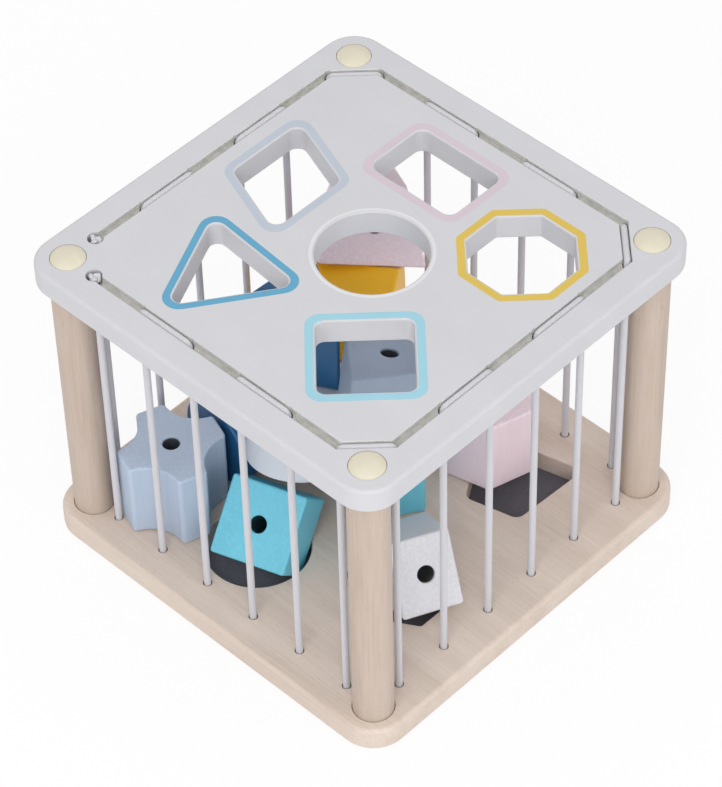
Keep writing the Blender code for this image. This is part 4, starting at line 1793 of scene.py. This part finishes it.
@dataclass(frozen=True)
class Block:
    """One drilled and painted block of the heap.

    Attributes:
        name: Its body's name.
        section: Its section, about the bore.
        length: Its length along the bore.
        place: Its middle, with the height above the base plate.
        turn: Its turns about X, Y and Z in degrees.
        coat: Its paint.
        edge: Radius of its end edges.
        bore: Diameter of its bore.
        bore_lip: Radius of the bore's edges.
        shade_depth: Depth from which the bore's wall is darkened as painted shade.
        lip_wear: How much of a rim the bore's edge is, from 0 to 1.
        wall_step: The longest step round its section.
    """

    name: str
    section: Outline
    length: float
    place: Triple
    turn: Triple
    coat: Coat
    edge: float = 0.001
    bore: float = 0.007
    bore_lip: float = 0.0005
    shade_depth: float = 0.0015
    lip_wear: float = 0.3
    wall_step: float = 0.0016

    def skin(self) -> Form:
        """Skin the block from the bore round the outside and back.

        Returns:
            The block about its middle, with its bore upright.
        """
        outline = self.section.refined(self.wall_step)
        half, bore, lip = self.length / 2, self.bore / 2, quarter(self.bore_lip, EASE_STEPS)
        # The ring at -1 lies deep in the bore, from where the paint is darkened as painted shade.
        lower = [(outline.bored(bore).at(self.shade_depth - half), -1.0)]
        for out, rise in lip:
            lower.append((outline.bored(bore + out).at(rise - half), self.lip_wear))
        for rise, inset in quarter(self.edge, EASE_STEPS):
            lower.append((outline.grown(-inset).at(rise - half), float(inset > 0.0)))
        upper = [([(x, y, -z) for x, y, z in ring], rim) for ring, rim in reversed(lower)]
        rings, rims = zip(*lower, *upper)
        form = Form()
        form.skin(rings, closed=True, rims=rims)
        return form

    def build(self, floor: float, material: bpy.types.Material) -> None:
        """Make the block where it lies.

        Args:
            floor: Height of the base plate's upper face.
            material: Its paint.
        """
        middle = (self.place[0], self.place[1], self.place[2] + floor)
        turn = Euler([math.radians(angle) for angle in self.turn]).to_matrix().to_4x4()
        matrix = Matrix.Translation(middle) @ turn
        piece = self.skin().piece("painted_" + self.name, material, matrix)
        flatten_faces(piece)
        fit(piece, self.name, self.coat.slot, "block_" + self.name)


@dataclass
class Heap:
    """The twelve blocks.

    Attributes:
        layout: The shared sizes.
        long: Length of the longer blocks.
        short: Length of the shorter blocks.
        corner: Radius of the blocks' long edges.
        corner_steps: Steps in such an edge.
        star_corner: Radius of the star's.
    """

    layout: Layout
    long: float = 0.036
    short: float = 0.034
    corner: float = 0.0012
    corner_steps: int = 5
    star_corner: float = 0.0018

    def soft(self, outline: Outline) -> Outline:
        """A section with its long edges rounded."""
        return outline.rounded(self.corner, self.corner_steps)

    def blocks(self) -> list[Block]:
        """Lay out the heap.

        Returns:
            The blocks from the floor of the cage up.
        """
        stand = self.layout.fit_gap + self.long / 2
        star = STAR.rounded(self.star_corner, self.corner_steps)
        octagon = self.soft(Outline.regular(8, 0.0385, 22.5))
        hexagon = self.soft(Outline.regular(6, 0.038, 0.0))
        rhombus = self.soft(Outline.rhombus(0.034, 70.0))
        trapezoid = self.soft(Outline.trapezoid(0.0435, 0.0225, 0.033))
        return [
            Block("star_blue", star, self.long,
                  (-0.0505, -0.0565, stand), (0.0, 0.0, 25.0), Coat.BLUE),
            Block("round_petrol", Outline.circle(0.019, 96), self.long,
                  (-0.0478, -0.0160, 0.0194), (90.0, 0.0, -6.7), Coat.PETROL),
            Block("square_cyan", self.soft(Outline.square(0.032)), 0.022,
                  (-0.0100, -0.0455, 0.0100), (42.8, 0.0, 18.5), Coat.CYAN),
            Block("oblong_white", self.soft(Outline.oblong(0.025, 0.031)), 0.028,
                  (0.0475, -0.0224, 0.0114), (57.2, 0.0, 64.3), Coat.WHITE),
            Block("oblong_cyan", self.soft(Outline.oblong(0.035, 0.027)), self.long,
                  (0.0028, 0.0065, stand), (0.0, 0.0, 146.0), Coat.CYAN),
            Block("hexagon_pink", hexagon, self.long,
                  (0.0209, 0.0486, stand), (0.0, 0.0, -46.4), Coat.PINK),
            Block("octagon_yellow_low", octagon, self.long,
                  (-0.0360, 0.0290, stand), (0.0, 0.0, 10.0), Coat.YELLOW),
            Block("round_white", Outline.circle(0.020, 96), self.long,
                  (-0.0144, -0.0214, 0.0498), (-15.6, -5.8, 7.1), Coat.SHADED_WHITE),
            Block("octagon_yellow_high", octagon, self.long,
                  (-0.0346, 0.0297, 0.0567), (90.0, -7.3, 123.5), Coat.YELLOW),
            Block("triangle_petrol", self.soft(Outline.triangle(0.044)), self.short,
                  (-0.0242, -0.0122, 0.0857), (-1.5, 0.5, 28.5), Coat.PETROL),
            Block("rhombus_blue", rhombus, self.short,
                  (0.0216, -0.0109, 0.0819), (11.3, -13.3, -113.8), Coat.SHADED_BLUE),
            Block("trapezoid_pink", trapezoid, self.long,
                  (-0.0479, 0.0536, 0.0834), (60.3, 8.7, 48.5), Coat.PINK),
        ]

    def build(self) -> None:
        """Make every block."""
        paints = {coat: coat.paint.dress() for coat in Coat}
        for block in self.blocks():
            block.build(self.layout.base_thickness, paints[block.coat])


@dataclass(frozen=True)
class Lamp:
    """One soft square lamp.

    Attributes:
        name: Its name.
        place: Where it hangs.
        size: Its side.
        power: Its power in watts.
    """

    name: str
    place: Triple
    size: float
    power: float

    def build(self, target: Triple) -> None:
        """Hang the lamp.

        Args:
            target: The point that it faces.
        """
        light = bpy.data.lights.new(self.name, "AREA")
        light.shape = "SQUARE"
        light.size = self.size
        light.energy = self.power
        aim = (Vector(target) - Vector(self.place)).to_track_quat("-Z", "Y")
        placed(self.name, light, Matrix.Translation(self.place) @ aim.to_matrix().to_4x4())


@dataclass
class Studio:
    """The pale floor, the soft light and the camera.

    Attributes:
        azimuth: The camera's turn about the object, in degrees from -Y towards +X.
        elevation: Its height angle in degrees.
        roll: Its roll in degrees.
        place: Where it stands.
        lens: Its focal length in millimetres.
        sensor: The height of its sensor in millimetres.
        nearest: The nearest thing that it shows.
        target: The point that the lamps face.
        lamps: The lamps.
        surround: The brightness of the white surround as a light.
        floor_side: The floor's side.
        floor_corner: Radius of its corners.
        floor_steps: Steps in such a corner.
        floor_span: Heights of its underside and its face, just below the cube.
        floor_clouds: Faint patches in it.
        floor_colours: Its colour in and between them.
        floor_roughness: How dull it is.
        floor_gloss: Its specular level.
        floor_white: How far plain white takes its place where it is seen; the rest keeps shadows.
    """

    azimuth: float = 44.832
    elevation: float = 46.625
    roll: float = -1.577
    place: Triple = (0.65520, -0.66071, 1.05242)
    lens: float = 160.484
    sensor: float = 36.0
    nearest: float = 0.05
    target: Triple = (0.0, 0.0, 0.07)
    lamps: tuple[Lamp, ...] = (
        Lamp("lamp_over", (-0.25, 0.1, 1.5), 1.4, 3.8),
        Lamp("lamp_front", (0.75, -1.1, 1.15), 1.4, 15.0),
        Lamp("lamp_side", (1.5, 0.1, 0.7), 1.2, 3.5),
    )
    surround: float = 0.62
    floor_side: float = 6.0
    floor_corner: float = 0.5
    floor_steps: int = 6
    floor_span: Pair = (-0.0206, -0.0004)
    floor_clouds: Waves = Waves(3.0)
    floor_colours: tuple[str, str] = ("f4f4f5", "f7f7f8")
    floor_roughness: float = 0.9
    floor_gloss: float = 0.1
    floor_white: float = 0.88

    def add_camera(self) -> None:
        """Put the camera at the photograph's angle."""
        a, e, r = (math.radians(v) for v in (self.azimuth, self.elevation, self.roll))
        back = Vector((math.sin(a) * math.cos(e), -math.cos(a) * math.cos(e), math.sin(e)))
        right = Vector((math.cos(a), math.sin(a), 0.0))
        up = back.cross(right)
        c, s = math.cos(r), math.sin(r)
        columns = Matrix((c * right + s * up, c * up - s * right, back)).transposed()
        lens = bpy.data.cameras.new("camera")
        lens.sensor_fit = "VERTICAL"
        lens.sensor_height = self.sensor
        lens.lens = self.lens
        lens.clip_start = self.nearest
        camera = placed("camera", lens, Matrix.Translation(self.place) @ columns.to_4x4())
        bpy.context.scene.camera = camera

    @staticmethod
    def seen(bench: Bench) -> Wire:
        """Tell what the camera sees from what only lights the object.

        Args:
            bench: The bench that takes the nodes.

        Returns:
            1 for what is seen directly, in a mirror or through glass, and 0 for other light.
        """
        kinds = ("Is Camera Ray", "Is Glossy Ray", "Is Transmission Ray")
        straight, mirrored, refracted = (bench.node("ShaderNodeLightPath", out=k) for k in kinds)
        return straight.above(mirrored).above(refracted)

    def add_floor(self) -> None:
        """Lay a wide pale floor that keeps the cube's shadow."""
        bench = Surface("pale_floor")
        tints = [srgb(code) for code in self.floor_colours]
        bench.set(
            Base_Color=bench.blend(bench.noise(self.floor_clouds), *tints),
            Roughness=self.floor_roughness,
            Specular_IOR_Level=self.floor_gloss,
        )
        glow = bench.node("ShaderNodeEmission", inputs={"Color": srgb(WHITE), "Strength": 1.0})
        shaded = Wire(bench, bench.shader.outputs[0])
        inputs = {0: self.seen(bench) * self.floor_white, 1: shaded, 2: glow}
        mixed = bench.node("ShaderNodeMixShader", inputs=inputs)
        bench.feed(bench.tree.nodes["Material Output"].inputs["Surface"], mixed)
        form = Form()
        outline = Outline.square(self.floor_side).rounded(self.floor_corner, self.floor_steps)
        form.prism(outline, *self.floor_span)
        floor = form.piece("floor", bench.material)

    def add_world(self) -> None:
        """Add a white surround: soft light on the cube, and plain white where it is seen."""
        world = bpy.data.worlds.new("surround")
        world.use_nodes = True
        bench = Bench(world.node_tree)
        light = world.node_tree.nodes["Background"].inputs
        light["Color"].default_value = srgb(WHITE)
        bench.feed(light["Strength"], self.seen(bench) * (1.0 - self.surround) + self.surround)
        bpy.context.scene.world = world

    def build(self) -> None:
        """Set up camera, floor and light."""
        bpy.context.scene.view_settings.view_transform = "Standard"
        self.add_camera()
        self.add_floor()
        self.add_world()
        for lamp in self.lamps:
            lamp.build(self.target)


def clear_scene() -> None:
    """Remove what the file holds before the cube is made."""
    for obj in list(bpy.data.objects):
        bpy.data.objects.remove(obj, do_unlink=True)


def main() -> None:
    """Load the frame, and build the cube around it."""
    logging.basicConfig(level=logging.INFO, format="%(name)s: %(message)s")
    clear_scene()
    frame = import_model()
    Studio().build()
    layout = Layout()
    Lacing(layout).build()
    BasePlate(layout).build()
    TopPlate(layout).build()
    Posts(layout).build(frame["nodes"])
    repaint(frame["nodes"]["bottom_panel"], DarkBoard("dark_board", "6b6870").dress())
    Heap(layout).build()


if __name__ == "__main__":
    main()
